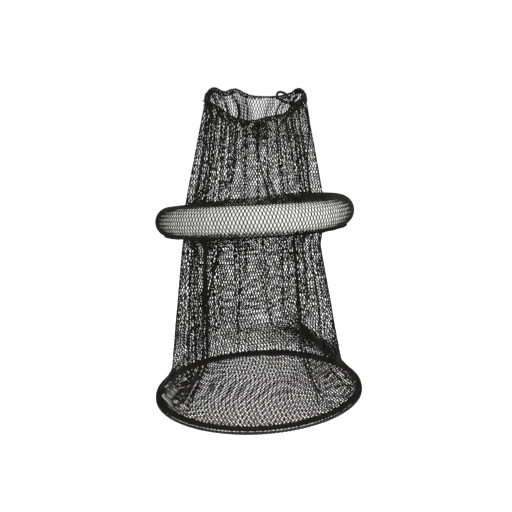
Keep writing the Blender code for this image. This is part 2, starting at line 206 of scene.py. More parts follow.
def dust_group() -> bpy.types.NodeTree:
    """Dust and handling wear that pale and roughen a finish in patches.

    Returns:
        The shared shader group.
    """
    patchy, dry = (0.42, 0.72), 0.35
    g = Graph.group(
        "dust_and_wear", "ShaderNodeTree",
        (
            ("Colour", "Color"), ("Dust Colour", "Color"), ("Dust", "Float"), ("Patch Size", "Float"),
            ("Roughness", "Float"),
        ),
        (("Colour", "Color"), ("Roughness", "Float")),
    )
    given = g.add("NodeGroupInput").outputs
    place = g.add("ShaderNodeTexCoord").outputs["Object"]
    patches = g.mapped(g.noise(place, given["Patch Size"], 4.0)["Fac"], *patchy, 0.0, 1.0)
    share = g.math("MULTIPLY", patches, given["Dust"])
    mix = {"Factor": share, 6: given["Colour"], 7: given["Dust Colour"]}
    colour = g.add("ShaderNodeMix", mix, data_type="RGBA").outputs[2]
    rough = g.math("ADD", given["Roughness"], g.math("MULTIPLY", share, dry))
    g.add("NodeGroupOutput", {"Colour": colour, "Roughness": rough})
    return g.tree


def fibre_group() -> bpy.types.NodeTree:
    """The fine relief of twisted filaments.

    Returns:
        The shared shader group, with a shade and a height.
    """
    tuft_ratio, fine_share, shade_range = 0.21, 0.7, (0.7, 1.3)
    sizes = (("Filament Size", "Float"), ("Stretch", "Float"))
    g = Graph.group("filament_relief", "ShaderNodeTree", sizes, RELIEF_SOCKETS)
    given = g.add("NodeGroupInput").outputs
    place = g.add("ShaderNodeTexCoord").outputs["Object"]
    leant = g.vector("MULTIPLY", place, g.combine(1.0, 1.0, given["Stretch"]))
    fine = g.noise(leant, given["Filament Size"], 2.0)["Fac"]
    tufts = g.noise(place, g.math("DIVIDE", given["Filament Size"], tuft_ratio), 1.0)["Fac"]
    fine_part = g.math("MULTIPLY", fine, fine_share)
    height = g.math("ADD", fine_part, g.math("MULTIPLY", tufts, 1 - fine_share))
    shade = g.mapped(height, *NOISE_RANGE, *shade_range)
    g.add("NodeGroupOutput", {"Shade": shade, "Height": height})
    return g.tree


def cell_group() -> bpy.types.NodeTree:
    """The closed cells and soft dents of a foam's skin.

    Returns:
        The shader group, with a shade and a height.
    """
    cell_share, shade_range = 0.25, (0.93, 1.0)
    sizes = (("Cell Size", "Float"), ("Dent Size", "Float"))
    g = Graph.group("closed_cells", "ShaderNodeTree", sizes, RELIEF_SOCKETS)
    given = g.add("NodeGroupInput").outputs
    place = g.add("ShaderNodeTexCoord").outputs["Object"]
    scale = g.math("DIVIDE", 1.0, given["Cell Size"])
    cells = g.add("ShaderNodeTexVoronoi", {"Vector": place, "Scale": scale}).outputs["Distance"]
    soft = g.noise(place, given["Dent Size"], 2.0)["Fac"]
    height = g.math("ADD", g.math("MULTIPLY", cells, cell_share), soft)
    shade = g.mapped(soft, *NOISE_RANGE, *shade_range)
    g.add("NodeGroupOutput", {"Shade": shade, "Height": height})
    return g.tree


GROUPS = {make.__name__: make() for make in (dust_group, fibre_group, cell_group)}


@dataclass(frozen=True)
class Finish:
    """A finish whose colour, roughness and relief change over the surface."""

    name: str
    colour: Colour
    roughness: float
    dust_colour: Colour
    dust: float
    patch_size: float
    relief: str
    relief_sizes: dict[str, float]
    relief_depth: float
    sheen: float = 0.0
    coat: float = 0.0
    specular: float = 0.5

    def material(self) -> bpy.types.Material:
        """Builds the finish.

        Returns:
            A material with shared groups for its dust and its relief.
        """
        made = bpy.data.materials.new(self.name)
        made.use_nodes = True
        g = Graph(made.node_tree)
        relief = g.add("ShaderNodeGroup", node_tree=GROUPS[self.relief])
        g.feed(relief, self.relief_sizes)
        shaded = {"Factor": 1.0, 6: (*self.colour, 1.0), 7: relief.outputs["Shade"]}
        base = g.add("ShaderNodeMix", shaded, data_type="RGBA", blend_type="MULTIPLY").outputs[2]
        worn = {
            "Colour": base, "Dust Colour": (*self.dust_colour, 1.0), "Dust": self.dust,
            "Patch Size": self.patch_size, "Roughness": self.roughness,
        }
        dust = g.add("ShaderNodeGroup", node_tree=GROUPS["dust_group"])
        g.feed(dust, worn)
        bump = {"Height": relief.outputs["Height"], "Distance": self.relief_depth, "Strength": 1.0}
        shown = {
            "Base Color": dust.outputs["Colour"], "Roughness": dust.outputs["Roughness"],
            "Normal": g.add("ShaderNodeBump", bump).outputs["Normal"],
            "Sheen Weight": self.sheen, "Coat Weight": self.coat, "Specular IOR Level": self.specular,
        }
        g.feed(made.node_tree.nodes["Principled BSDF"], shown)
        return made


NETTING = Finish(
    name="black_nylon_netting", colour=(0.009, 0.0085, 0.008), roughness=0.65,
    dust_colour=(0.045, 0.043, 0.040), dust=0.22, patch_size=0.030, specular=0.10,
    relief="fibre_group", relief_sizes={"Filament Size": 0.00035, "Stretch": 0.5}, relief_depth=0.00010,
)
CORD = Finish(
    name="black_laid_cord", colour=(0.003, 0.003, 0.003), roughness=0.60,
    dust_colour=(0.028, 0.028, 0.026), dust=0.15, patch_size=0.012, specular=0.12,
    relief="fibre_group", relief_sizes={"Filament Size": 0.00030, "Stretch": 0.4}, relief_depth=0.00010,
)
FOAM = Finish(
    name="white_closed_cell_foam", colour=(0.88, 0.88, 0.87), roughness=0.75,
    dust_colour=(0.66, 0.65, 0.62), dust=0.12, patch_size=0.060,
    relief="cell_group", relief_sizes={"Cell Size": 0.0011, "Dent Size": 0.018}, relief_depth=0.00025,
)
STEEL = Finish(
    name="black_coated_wire", colour=(0.006, 0.006, 0.006), roughness=0.34,
    dust_colour=(0.05, 0.05, 0.05), dust=0.15, patch_size=0.010, coat=0.15, specular=0.35,
    relief="fibre_group", relief_sizes={"Filament Size": 0.0020, "Stretch": 1.0}, relief_depth=0.00004,
)
PLUG = Finish(
    name="grey_moulded_plug", colour=(0.30, 0.30, 0.31), roughness=0.50,
    dust_colour=(0.45, 0.45, 0.44), dust=0.20, patch_size=0.015,
    relief="fibre_group", relief_sizes={"Filament Size": 0.0012, "Stretch": 1.0}, relief_depth=0.00005,
)


# Meshes and curves


def linked(name: str, data: Any) -> bpy.types.Object:
    """A new object that shows some data in the scene.

    Args:
        name: The object's name.
        data: Its mesh, curve, lamp or camera.

    Returns:
        The new object.
    """
    obj = bpy.data.objects.new(name, data)
    bpy.context.scene.collection.objects.link(obj)
    return obj


def surface(name: str, columns: int, rows: int, place: Place) -> bpy.types.Object:
    """A grid of faces with a UV map that runs from 0 to 1 both ways.

    Args:
        name: The object's name.
        columns: Faces along u.
        rows: Faces along v.
        place: The points at many u and one v.

    Returns:
        The new object.
    """
    across = np.linspace(0.0, 1.0, columns + 1)
    points = np.concatenate([place(across, j / rows) for j in range(rows + 1)])
    wide = columns + 1
    corners = [j * wide + i for j in range(rows) for i in range(columns)]
    faces = [(a, a + wide, a + wide + 1, a + 1) for a in corners]
    mesh = bpy.data.meshes.new(name)
    mesh.from_pydata(points.tolist(), [], faces)
    index = np.array([loop.vertex_index for loop in mesh.loops])
    flat = np.stack((index % wide / columns, index // wide / rows), axis=1)
    mesh.uv_layers.new(name="UVMap").data.foreach_set("uv", flat.ravel())
    return linked(name, mesh)


def closed_tube(name: str, rings: int, sides: int, place: Place) -> bpy.types.Object:
    """A tube bent to a ring and welded both ways.

    Args:
        name: The object's name.
        rings: Steps round the ring.
        sides: Steps round the tube.
        place: The points at many shares round the ring and one share round the tube.

    Returns:
        The new object, smooth shaded.
    """
    around = np.arange(rings) / rings
    points = np.concatenate([place(around, j / sides) for j in range(sides)])
    faces = []
    for j in range(sides):
        here, above = j * rings, (j + 1) % sides * rings
        for i in range(rings):
            k = (i + 1) % rings
            faces.append((here + i, here + k, above + k, above + i))
    mesh = bpy.data.meshes.new(name)
    mesh.from_pydata(points.tolist(), [], faces)
    mesh.shade_smooth()
    return linked(name, mesh)


def swept(name: str, path: Array, closed: bool) -> bpy.types.Object:
    """A bare curve along a path.

    Args:
        name: The object's name.
        path: The points that it follows.
        closed: Whether it joins its own start.

    Returns:
        The new curve object.
    """
    curve = bpy.data.curves.new(name, "CURVE")
    curve.dimensions = "3D"
    spline = curve.splines.new("POLY")
    spline.points.add(len(path) - 1)
    spline.points.foreach_set("co", np.column_stack((path, np.ones(len(path)))).ravel())
    spline.use_cyclic_u = closed
    return linked(name, curve)


def grown(obj: bpy.types.Object, tree: bpy.types.NodeTree, **inputs: Any) -> bpy.types.Object:
    """Runs a geometry node tree on an object and keeps its result as a plain mesh.

    Args:
        obj: The wall or curve that the tree works on; it is removed.
        tree: The tree.
        **inputs: The tree's inputs, by name with underscores for spaces.

    Returns:
        A new mesh object of the same name, at the origin.
    """
    name = obj.name
    modifier = obj.modifiers.new("pattern", "NODES")
    modifier.node_group = tree
    sockets = {s.name.replace(" ", "_"): s for s in tree.interface.items_tree if s.in_out == "INPUT"}
    for key, value in inputs.items():
        modifier[sockets[key].identifier] = value
    graph = bpy.context.evaluated_depsgraph_get()
    mesh = bpy.data.meshes.new_from_object(obj.evaluated_get(graph))
    bpy.data.objects.remove(obj)
    mesh.name = name
    return linked(name, mesh)


def finished(
    piece: bpy.types.Object, material: bpy.types.Material, slot: Slot, rides: Body | Slide, node: str,
) -> None:
    """Gives a piece its finish, hides the node of the frame that it stands for, and parents it to its body
    or bakes its place into its mesh.

    Args:
        piece: The piece.
        material: Its finish.
        slot: The record's slot; it is not used.
        rides: The body that it rides on, or the slide that it is spread over.
        node: The node that it replaces.
    """
    piece.data.materials.clear()
    piece.data.materials.append(material)
    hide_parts(node)
    if isinstance(rides, Body):
        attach(piece, rides.value)
    else:
        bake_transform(piece)
    LOG.info("%s: %d faces", piece.name, len(piece.data.polygons))


def smooth(route: Sequence[Sequence[float]], steps: int, closed: bool) -> Array:
    """Points along a smooth curve through a route's own points.

    Args:
        route: The listed points.
        steps: Points for each stretch.
        closed: Whether the route joins its own start.

    Returns:
        The finer points.
    """
    nodes = np.array(route)
    count = len(nodes)
    spans = count if closed else count - 1
    t = np.linspace(0.0, 1.0, steps, endpoint=False)[:, None]
    found = []
    for i in range(spans):
        before = nodes[i - 1] if closed or i else nodes[0] * 2 - nodes[1]
        start, end = nodes[i], nodes[(i + 1) % count]
        last = not closed and i == spans - 1
        after = end * 2 - start if last else nodes[(i + 2) % count]
        bend = (after - before + (start - end) * 3) * t**3
        curve = (before * 2 - start * 5 + end * 4 - after) * t**2
        found.append((start * 2 + (end - before) * t + curve + bend) / 2)
    if not closed:
        found.append(nodes[-1:])
    return np.concatenate(found)


# Patterns


def netting_tree() -> bpy.types.NodeTree:
    """Knitted netting on a wall: chains that zigzag and lie side by side where they join.

    Returns:
        A tree that reads the wall's UV map and returns the twine.
    """
    uncut, edge = 10.0, 0.0005
    g = Graph.group(
        "knitted_netting", "GeometryNodeTree",
        (
            ("Wall", "Geometry"), ("Columns", "Int"), ("Rows", "Int"), ("Twine Radius", "Float"),
            ("Twine Sides", "Int"), ("Joint Share", "Float"), ("Side Gap", "Float"), ("Slack", "Float"),
            ("Slack Size", "Float"), ("Centre", "Vector"), ("Reach", "Float", uncut),
            ("Material", "Material"),
        ),
        (("Netting", "Geometry"),),
    )
    given = g.add("NodeGroupInput").outputs

    per_chain = g.math("MULTIPLY", given["Rows"], 2.0)
    chains = g.math("MULTIPLY", given["Columns"], 2.0)
    line = g.add("GeometryNodeMeshLine", {"Count": per_chain}).outputs[0]
    starts = g.add("GeometryNodePoints", {"Count": chains}).outputs[0]
    copies = g.add("GeometryNodeInstanceOnPoints", {"Points": starts, "Instance": line}).outputs[0]
    loose = g.add("GeometryNodeRealizeInstances", {"Geometry": copies}).outputs[0]

    index = g.math("ADD", g.add("GeometryNodeInputIndex").outputs[0], 0.5)
    chain = g.math("FLOOR", g.math("DIVIDE", index, per_chain))
    along = g.math("FLOOR", g.math("MODULO", index, per_chain))
    row = g.math("FLOOR", g.math("MULTIPLY", along, 0.5))
    half = g.math("MODULO", along, 2.0)
    step = g.math("MODULO", g.math("ADD", chain, row), 2.0)
    side = g.math("SUBTRACT", 1.0, g.math("MULTIPLY", step, 2.0))
    middle = g.math("MULTIPLY", g.math("ADD", chain, step), 0.5)
    x = g.math("ADD", middle, g.math("MULTIPLY", side, given["Side Gap"]))
    ends = g.math("SUBTRACT", g.math("MULTIPLY", half, 2.0), 1.0)
    y = g.math("ADD", row, g.math("MULTIPLY", ends, given["Joint Share"]))
    joints = g.math("MULTIPLY", given["Joint Share"], 2.0)
    height = g.math("ADD", g.math("SUBTRACT", given["Rows"], 1.0), joints)
    u = g.math("DIVIDE", x, given["Columns"])
    v = g.math("DIVIDE", g.math("ADD", y, given["Joint Share"]), height)
    spot = g.combine(u, g.mapped(v, 0.0, 1.0, edge, 1.0 - edge))

    uv = g.add("GeometryNodeInputNamedAttribute", {"Name": "UVMap"}, data_type="FLOAT_VECTOR")
    here = g.add("GeometryNodeInputPosition").outputs[0]
    lookup = {"Mesh": given["Wall"], "Value": here, "UV Map": uv.outputs[0], "Sample UV": spot}
    on_wall = g.add("GeometryNodeSampleUVSurface", lookup, data_type="FLOAT_VECTOR").outputs[0]
    laid = g.add("GeometryNodeSetPosition", {"Geometry": loose, "Position": on_wall}).outputs[0]

    noise = g.noise(here, given["Slack Size"], 2.0)["Color"]
    centred = g.vector("SUBTRACT", noise, (0.5, 0.5, 0.5))
    offset = g.scaled(centred, g.math("MULTIPLY", given["Slack"], 2.0))
    slack = g.add("GeometryNodeSetPosition", {"Geometry": laid, "Offset": offset}).outputs[0]

    far = g.add("ShaderNodeVectorMath", {0: here, 1: given["Centre"]}, operation="DISTANCE").outputs["Value"]
    outside = g.math("GREATER_THAN", far, given["Reach"])
    cut = g.add("GeometryNodeDeleteGeometry", {"Geometry": slack, "Selection": outside}).outputs[0]
    lines = g.add("GeometryNodeMeshToCurve", {"Mesh": cut}).outputs[0]
    section = {"Resolution": given["Twine Sides"], "Radius": given["Twine Radius"]}
    profile = g.add("GeometryNodeCurvePrimitiveCircle", section).outputs[0]
    sweep = {"Curve": lines, "Profile Curve": profile, "Fill Caps": True}
    twine = g.add("GeometryNodeCurveToMesh", sweep).outputs[0]
    round_twine = g.add("GeometryNodeSetShadeSmooth", {"Geometry": twine}).outputs[0]
    real = g.add("GeometryNodeRealizeInstances", {"Geometry": round_twine}).outputs[0]
    dressed = g.add("GeometryNodeSetMaterial", {"Geometry": real, "Material": given["Material"]}).outputs[0]
    g.add("NodeGroupOutput", {"Netting": dressed})
    return g.tree


def cord_tree() -> bpy.types.NodeTree:
    """A laid cord: strands that twist round each other along a curve.

    Returns:
        A tree that sweeps a lobed section along the curve.
    """
    g = Graph.group(
        "laid_cord", "GeometryNodeTree",
        (
            ("Curve", "Geometry"), ("Radius", "Float"), ("Strands", "Int", 3),
            ("Lobe Depth", "Float", 0.15), ("Lay Length", "Float", 0.008), ("Steps", "Int", 8),
            ("Sides", "Int", 12), ("Material", "Material"),
        ),
        (("Cord", "Geometry"),),
    )
    given = g.add("NodeGroupInput").outputs
    resample = {"Curve": given["Curve"], "Length": g.math("DIVIDE", given["Lay Length"], given["Steps"])}
    even = g.add("GeometryNodeResampleCurve", resample, mode="LENGTH").outputs[0]
    long = g.add("GeometryNodeSplineLength").outputs["Length"]
    turns = g.math("ROUND", g.math("DIVIDE", long, given["Lay Length"]))
    factor = g.add("GeometryNodeSplineParameter").outputs["Factor"]
    angle = g.math("MULTIPLY", g.math("MULTIPLY", factor, turns), TURN)
    twisted = g.add("GeometryNodeSetCurveTilt", {"Curve": even, "Tilt": angle}).outputs[0]
    section = {"Resolution": given["Sides"], "Radius": given["Radius"]}
    circle = g.add("GeometryNodeCurvePrimitiveCircle", section).outputs[0]
    here = g.add("GeometryNodeInputPosition").outputs[0]
    xyz = g.add("ShaderNodeSeparateXYZ", {0: here}).outputs
    round_angle = g.math("ARCTAN2", xyz["Y"], xyz["X"])
    wave = g.math("COSINE", g.math("MULTIPLY", round_angle, given["Strands"]))
    trough = g.math("SUBTRACT", 0.5, g.math("MULTIPLY", wave, 0.5))
    dip = g.math("MULTIPLY", trough, given["Lobe Depth"])
    lobed = g.scaled(here, g.math("SUBTRACT", 1.0, dip))
    profile = g.add("GeometryNodeSetPosition", {"Geometry": circle, "Position": lobed}).outputs[0]
    sweep = {"Curve": twisted, "Profile Curve": profile, "Fill Caps": True}
    body = g.add("GeometryNodeCurveToMesh", sweep).outputs[0]
    soft = g.add("GeometryNodeSetShadeSmooth", {"Geometry": body}).outputs[0]
    real = g.add("GeometryNodeRealizeInstances", {"Geometry": soft}).outputs[0]
    dressed = g.add("GeometryNodeSetMaterial", {"Geometry": real, "Material": given["Material"]}).outputs[0]
    g.add("NodeGroupOutput", {"Cord": dressed})
    return g.tree


# Rings and walls


@dataclass(frozen=True)
class Ring:
    """A ring's own frame: its centre, its level axes and its upward axis.

    Its twist raises two opposite quarters and lowers the other two, in metres for each square metre.
    """

    centre: Array
    across: Array
    behind: Array
    up: Array
    radius: float
    twist: float = 0.0

    @classmethod
    def of(cls, node: str) -> "Ring":
        """Reads a ring from a node of the frame.

        Args:
            node: A node that is one plain torus.

        Returns:
            The ring, with its X axis towards the right.
        """
        points = np.array([v.co for v in bpy.data.objects[node].data.vertices])
        centre = points.mean(axis=0)
        loose = points - centre
        up = np.linalg.svd(loose, full_matrices=False)[2][2]
        up = up * np.sign(up[2])
        across = np.cross((0.0, 1.0, 0.0), up)
        across /= np.linalg.norm(across)
        level = loose - np.outer(loose @ up, up)
        radius = float(np.linalg.norm(level, axis=1).mean())
        return cls(centre, across, np.cross(up, across), up, radius)

    def point(self, azimuth: Any, radius: Any, height: Any = 0.0) -> Array:
        """Points round the ring.

        Args:
            azimuth: Where they lie, in radians.
            radius: How far they lie from the axis.
            height: How far they lie above the ring's plane.

        Returns:
            The points, in the shape of the three together.
        """
        azimuth, radius, height = (a[..., None] for a in np.broadcast_arrays(azimuth, radius, height))
        x, y = radius * np.cos(azimuth), radius * np.sin(azimuth)
        return self.centre + x * self.across + y * self.behind + (height + self.twist * x * y) * self.up

    def beside(self, azimuth: Any, section: Any, distance: Any) -> Array:
        """Points beside the ring's tube: section 0 is its outer side and 90 degrees its top."""
        turn = np.radians(section)
        return self.point(azimuth, self.radius + distance * np.cos(turn), distance * np.sin(turn))


def outward_of(points: Array) -> Array:
    """Level unit vectors from the Z axis towards points."""
    level = points * (1.0, 1.0, 0.0)
    return level / np.linalg.norm(level, axis=-1, keepdims=True)


def drawn_in(points: Array, depth: Any) -> Array:
    """Points moved towards the Z axis."""
    return points - outward_of(points) * np.asarray(depth)[..., None]


def raised(points: Array, height: Array) -> Array:
    """Points moved up, each by its own height."""
    return points + height[:, None] * np.array(UPWARD)


def eased(value: Any, start: float, end: float) -> Any:
    """A smooth step from 0 at start to 1 at end."""
    t = np.clip((value - start) / (end - start), 0.0, 1.0)
    return t * t * (3 - 2 * t)


def degrees_from(azimuth: Any, line: float) -> Any:
    """How far azimuths in radians lie from a line in degrees, between -180 and 180."""
    return (np.degrees(azimuth) - line + 180.0) % 360.0 - 180.0


def hump(away: Any) -> Any:
    """A smooth hump: 1 in its middle and about a third at a distance of 1."""
    return np.exp(-away**2)


def waves(azimuth: Any, counts: Sequence[int], phase: Any) -> Any:
    """A sum of sines of whole counts round a ring, between -1 and 1, shifted by a phase."""
    total = sum(np.sin(n * azimuth + phase * (i + 1) * n) for i, n in enumerate(counts))
    return total / len(counts)


@dataclass(frozen=True)
class Fold:
    """A hanging fold: columns of netting packed into a few pleats along a line.

    The line is its azimuths in degrees at its top, its middle and its bottom. The top and the bottom
    are shares of the way down, and a fold that has them past the ends runs the whole way.
    """

    line: tuple[float, float, float]
    packing: float
    width: float
    top: float = -0.3
    bottom: float = 1.3
    depth: float = 0.004
    pleat: float = 0.003
    pleats: float = 5.0
    margin: float = 0.22

    def share(self, down: float) -> float:
        """How much of the fold there is at a share of the way down, fading at both ends."""
        fade = self.margin * (self.bottom - self.top)
        return eased(down, self.top, self.top + fade) * (1 - eased(down, self.bottom - fade, self.bottom))

    def away(self, azimuth: Array, down: float) -> Array:
        """Where azimuths lie beside the fold.

        Args:
            azimuth: The azimuths in radians.
            down: The share of the way down.

        Returns:
            The distance from the fold's line, as shares of its width.
        """
        along = (down - self.top) / (self.bottom - self.top)
        line = np.interp(along, (0.0, 0.5, 1.0), self.line)
        return degrees_from(azimuth, line) / self.width

    def packed(self, azimuth: Array, down: float) -> Array:
        """How many more columns lie there than in open netting."""
        return self.packing * self.share(down) * hump(self.away(azimuth, down))

    def drawn(self, azimuth: Array, down: float) -> Array:
        """How far the fold and its pleats draw the wall in.

        Args:
            azimuth: The azimuths in radians.
            down: The share of the way down.

        Returns:
            The depth in metres.
        """
        away = self.away(azimuth, down)
        drawn = self.depth + self.pleat * np.cos(self.pleats * away)
        return drawn * self.share(down) * hump(away)


@dataclass(frozen=True)
class Drape:
    """Where the columns of a hanging tube lie: packed in its folds and open between them."""

    seam: float
    folds: tuple[Fold, ...]
    samples: int = 1440

    def columns(self, shares: Array, down: float) -> Array:
        """Where the columns lie, closer together in the folds.

        Args:
            shares: The columns, as shares of their number from the seam on.
            down: The share of the way down.

        Returns:
            Their azimuths in radians.
        """
        around = np.linspace(0.0, TURN, self.samples + 1)
        density = 1 + sum(fold.packed(self.seam + around, down) for fold in self.folds)
        gone = np.concatenate(([0.0], np.cumsum(density[1:] + density[:-1])))
        return self.seam + np.interp(shares, gone / gone[-1], around)

    def depth(self, azimuth: Array, down: float) -> Array:
        """How far all the folds draw the wall in."""
        return sum(fold.drawn(azimuth, down) for fold in self.folds)


def flattened(azimuth: Array, corners: Array, squash: float, crease: float = 0.998) -> Array:
    """A limp tube's cross-section, creased at either side with its columns evenly apart.

    Args:
        azimuth: Where the columns lie.
        corners: The round tube's right, back, left and front points at that height.
        squash: The share by which it is shallower than the round tube.
        crease: How sharp the creases are, up to 1.

    Returns:
        The X and Y of each column.
    """
    right, back, left, front = corners
    wide = np.arcsin(crease * np.cos(azimuth)) / math.asin(crease)
    x = (right[0] + left[0]) / 2 + (right[0] - left[0]) / 2 * wide
    y = (back[1] + front[1]) / 2 + (back[1] - front[1]) / 2 * np.sin(azimuth) * (1 - squash)
    return np.stack((x, y), axis=-1)


def slipped(point: Array, shares: Array, azimuth: Array, slip: float) -> Array:
    """Netting whose packed columns lie higher and lower than their neighbours.

    Args:
        point: The netting's points along one row.
        shares: How far round each point is, as a share of the columns.
        azimuth: Where the points lie round the tube.
        slip: The greatest height by which open netting slips.

    Returns:
        The moved points.
    """
    least, most = 0.5, 4.0
    packed = np.clip(TURN * np.gradient(shares) / np.gradient(azimuth), least, most)
    height = slip * packed * waves(TURN * shares, SLIP_WAVES, 0.4)
    return raised(point, height)


@dataclass(frozen=True)
class Knitting:
    """How a piece of netting is knitted, and what it measures laid flat.

    A piece that is cut to another outline keeps the filled share of its rectangle.
    """

    columns: int
    rows: int
    twine: float
    sides: int = 4
    slack: float = 0.0005
    slack_size: float = 0.012
    joint_share: float = 0.22
    side_gap: float = 0.09
    cell_width: float = 0.0067
    row_height: float = 0.0078
    filled: float = 1.0

    def flat(self) -> tuple[float, float]:
        """The width and length of the piece laid flat, in metres."""
        return (self.columns * self.cell_width, self.rows * self.row_height)

    def knit(self, wall: bpy.types.Object, material: bpy.types.Material, **inputs: Any) -> bpy.types.Object:
        """Turns a wall into netting.

        Args:
            wall: The UV-mapped surface that the netting follows; it is removed.
            material: The twine's finish.
            **inputs: Other inputs of the netting tree.

        Returns:
            The netting as one mesh.
        """
        return grown(
            wall, PATTERNS["netting"], Columns=self.columns, Rows=self.rows,
            Twine_Radius=self.twine / 2, Twine_Sides=self.sides, Joint_Share=self.joint_share,
            Side_Gap=self.side_gap, Slack=self.slack, Slack_Size=self.slack_size,
            Material=material, **inputs,
        )

    def sheet(
        self, wall: bpy.types.Object, material: bpy.types.Material, rides: Body | Slide, node: str,
        held: str, rests_on: list[str], **inputs: Any,
    ) -> None:
        """Args:
            wall: The UV-mapped surface, with the piece's name.
            material: The twine's finish.
            rides: The body or the slide that it rides on.
            node: The node that it replaces.
            held: How the sheet is held; it is not used.
            rests_on: The pieces that it hangs or lies on.
            **inputs: Other inputs of the netting tree.
        """
        piece = self.knit(wall, material, **inputs)
        finished(piece, material, Slot.NETTING, rides, node)
        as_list(rests_on)


PATTERNS = {"netting": netting_tree(), "cord": cord_tree()}


def laid_cord(
    name: str, node: str, rides: Body | Slide, path: Array, diameter: float,
    material: bpy.types.Material, closed: bool = False, **inputs: Any,
) -> bpy.types.Object:
    """A twisted cord along a path, with its finish.

    Args:
        name: The piece's name.
        node: The node that it replaces.
        rides: The body or the slide that it rides on.
        path: The points that it follows.
        diameter: The cord's thickness.
        material: Its finish.
        closed: Whether it is a ring.
        **inputs: Other inputs of the cord tree.

    Returns:
        The cord as one mesh.
    """
    curve = swept(name, path, closed)
    piece = grown(curve, PATTERNS["cord"], Radius=diameter / 2, Material=material, **inputs)
    finished(piece, material, Slot.CORD, rides, node)
    return piece


@dataclass(frozen=True)
class Seam:
    """A sewn seam that wanders a little down a netting wall."""

    starts_at: float
    ends_at: float
    points: int
    wander: float
    wander_rate: float
    stand: float = 0.0014
    diameter: float = 0.0022
    lay: float = 0.005

    def sew(
        self, name: str, node: str, slide: Slide, wall: Place, azimuth_at: Callable[[float], float],
        material: bpy.types.Material,
    ) -> None:
        """Lays the seam's cord on a wall.

        Args:
            name: The piece's name.
            node: The node that it replaces.
            slide: The slide that it is spread over.
            wall: The wall's points at azimuths and a share of the way down.
            azimuth_at: The seam's azimuth at a share of the way down.
            material: The cord's finish.
        """
        path = []
        for down in np.linspace(self.starts_at, self.ends_at, self.points):
            azimuth = azimuth_at(down) + self.wander * math.sin(self.wander_rate * down)
            path.append(drawn_in(wall(np.array([azimuth]), down), -self.stand))
        laid_cord(name, node, slide, np.concatenate(path), self.diameter, material, Lay_Length=self.lay)


# Studio


@dataclass(frozen=True)
class Studio:
    """The camera, the soft lights and the pale floor."""

    eye: tuple[float, float, float] = (0.0, -1.8, 0.1795)
    look_down: float = 14.56
    lens: float = 68.5
    sensor: float = 36.0
    floor_height: float = -0.95
    floor_size: float = 12.0
    floor_glow: float = 0.35
    world_strength: float = 0.95
    lamps_aim_at: float = -0.28
    lamps: tuple = (
        ("key", (1.9, -2.1, 1.4), 1.6, 50.0),
        ("fill", (-2.2, -1.6, 0.6), 1.8, 5.0),
        ("top", (0.2, 0.6, 2.4), 1.6, 14.0),
    )

    def build(self) -> None:
        """Makes the camera, the world, the lamps and the floor."""
        self.camera()
        self.world()
        for lamp in self.lamps:
            self.lamp(*lamp)
        self.floor()

    def camera(self) -> None:
        """The photograph's viewing angle."""
        data = bpy.data.cameras.new("camera")
        data.lens = self.lens
        data.sensor_width = self.sensor
        data.clip_start = 0.05
        obj = linked("camera", data)
        obj.location = self.eye
        obj.rotation_euler = (math.radians(90.0 - self.look_down), 0.0, 0.0)
        bpy.context.scene.camera = obj
        bpy.context.scene.view_settings.view_transform = "Standard"

    def world(self) -> None:
        """White where the camera, gloss or glass sees it, and soft light elsewhere."""
        world = bpy.data.worlds.new("studio")
        world.use_nodes = True
        bpy.context.scene.world = world
        g = Graph(world.node_tree)
        rays = g.add("ShaderNodeLightPath").outputs
        seen = g.math("MAXIMUM", rays["Is Camera Ray"], rays["Is Glossy Ray"])
        seen = g.math("MAXIMUM", seen, rays["Is Transmission Ray"])
        rest = g.math("MULTIPLY", g.math("SUBTRACT", 1.0, seen), self.world_strength)
        glow = {"Color": WHITE, "Strength": g.math("ADD", seen, rest)}
        g.feed(world.node_tree.nodes["Background"], glow)

    def lamp(self, name: str, place: tuple[float, float, float], size: float, power: float) -> None:
        """A square soft lamp that faces the object's middle.

        Args:
            name: The lamp's name.
            place: Where it stands.
            size: Its side.
            power: Its power in watts.
        """
        data = bpy.data.lights.new(name, "AREA")
        data.size = size
        data.energy = power
        obj = linked(name, data)
        obj.location = place
        aim = Vector((0.0, 0.0, self.lamps_aim_at)) - Vector(place)
        obj.rotation_euler = aim.to_track_quat("-Z", "Y").to_euler()

    def floor(self) -> None:
        """A plain floor that keeps a shadow and looks white."""
        half = self.floor_size / 2
        corners = [(-half, -half), (half, -half), (half, half), (-half, half)]
        mesh = bpy.data.meshes.new("floor")
        mesh.from_pydata([(x, y, self.floor_height) for x, y in corners], [], [(0, 1, 2, 3)])
        made = bpy.data.materials.new("pale_floor")
        made.use_nodes = True
        g = Graph(made.node_tree)
        camera_ray = g.add("ShaderNodeLightPath").outputs["Is Camera Ray"]
        shown = {
            "Base Color": (0.9, 0.9, 0.9, 1.0), "Roughness": 0.9, "Emission Color": WHITE,
            "Emission Strength": g.math("MULTIPLY", camera_ray, self.floor_glow),
        }
        g.feed(made.node_tree.nodes["Principled BSDF"], shown)
        mesh.materials.append(made)
        linked("floor", mesh)


# Mouth


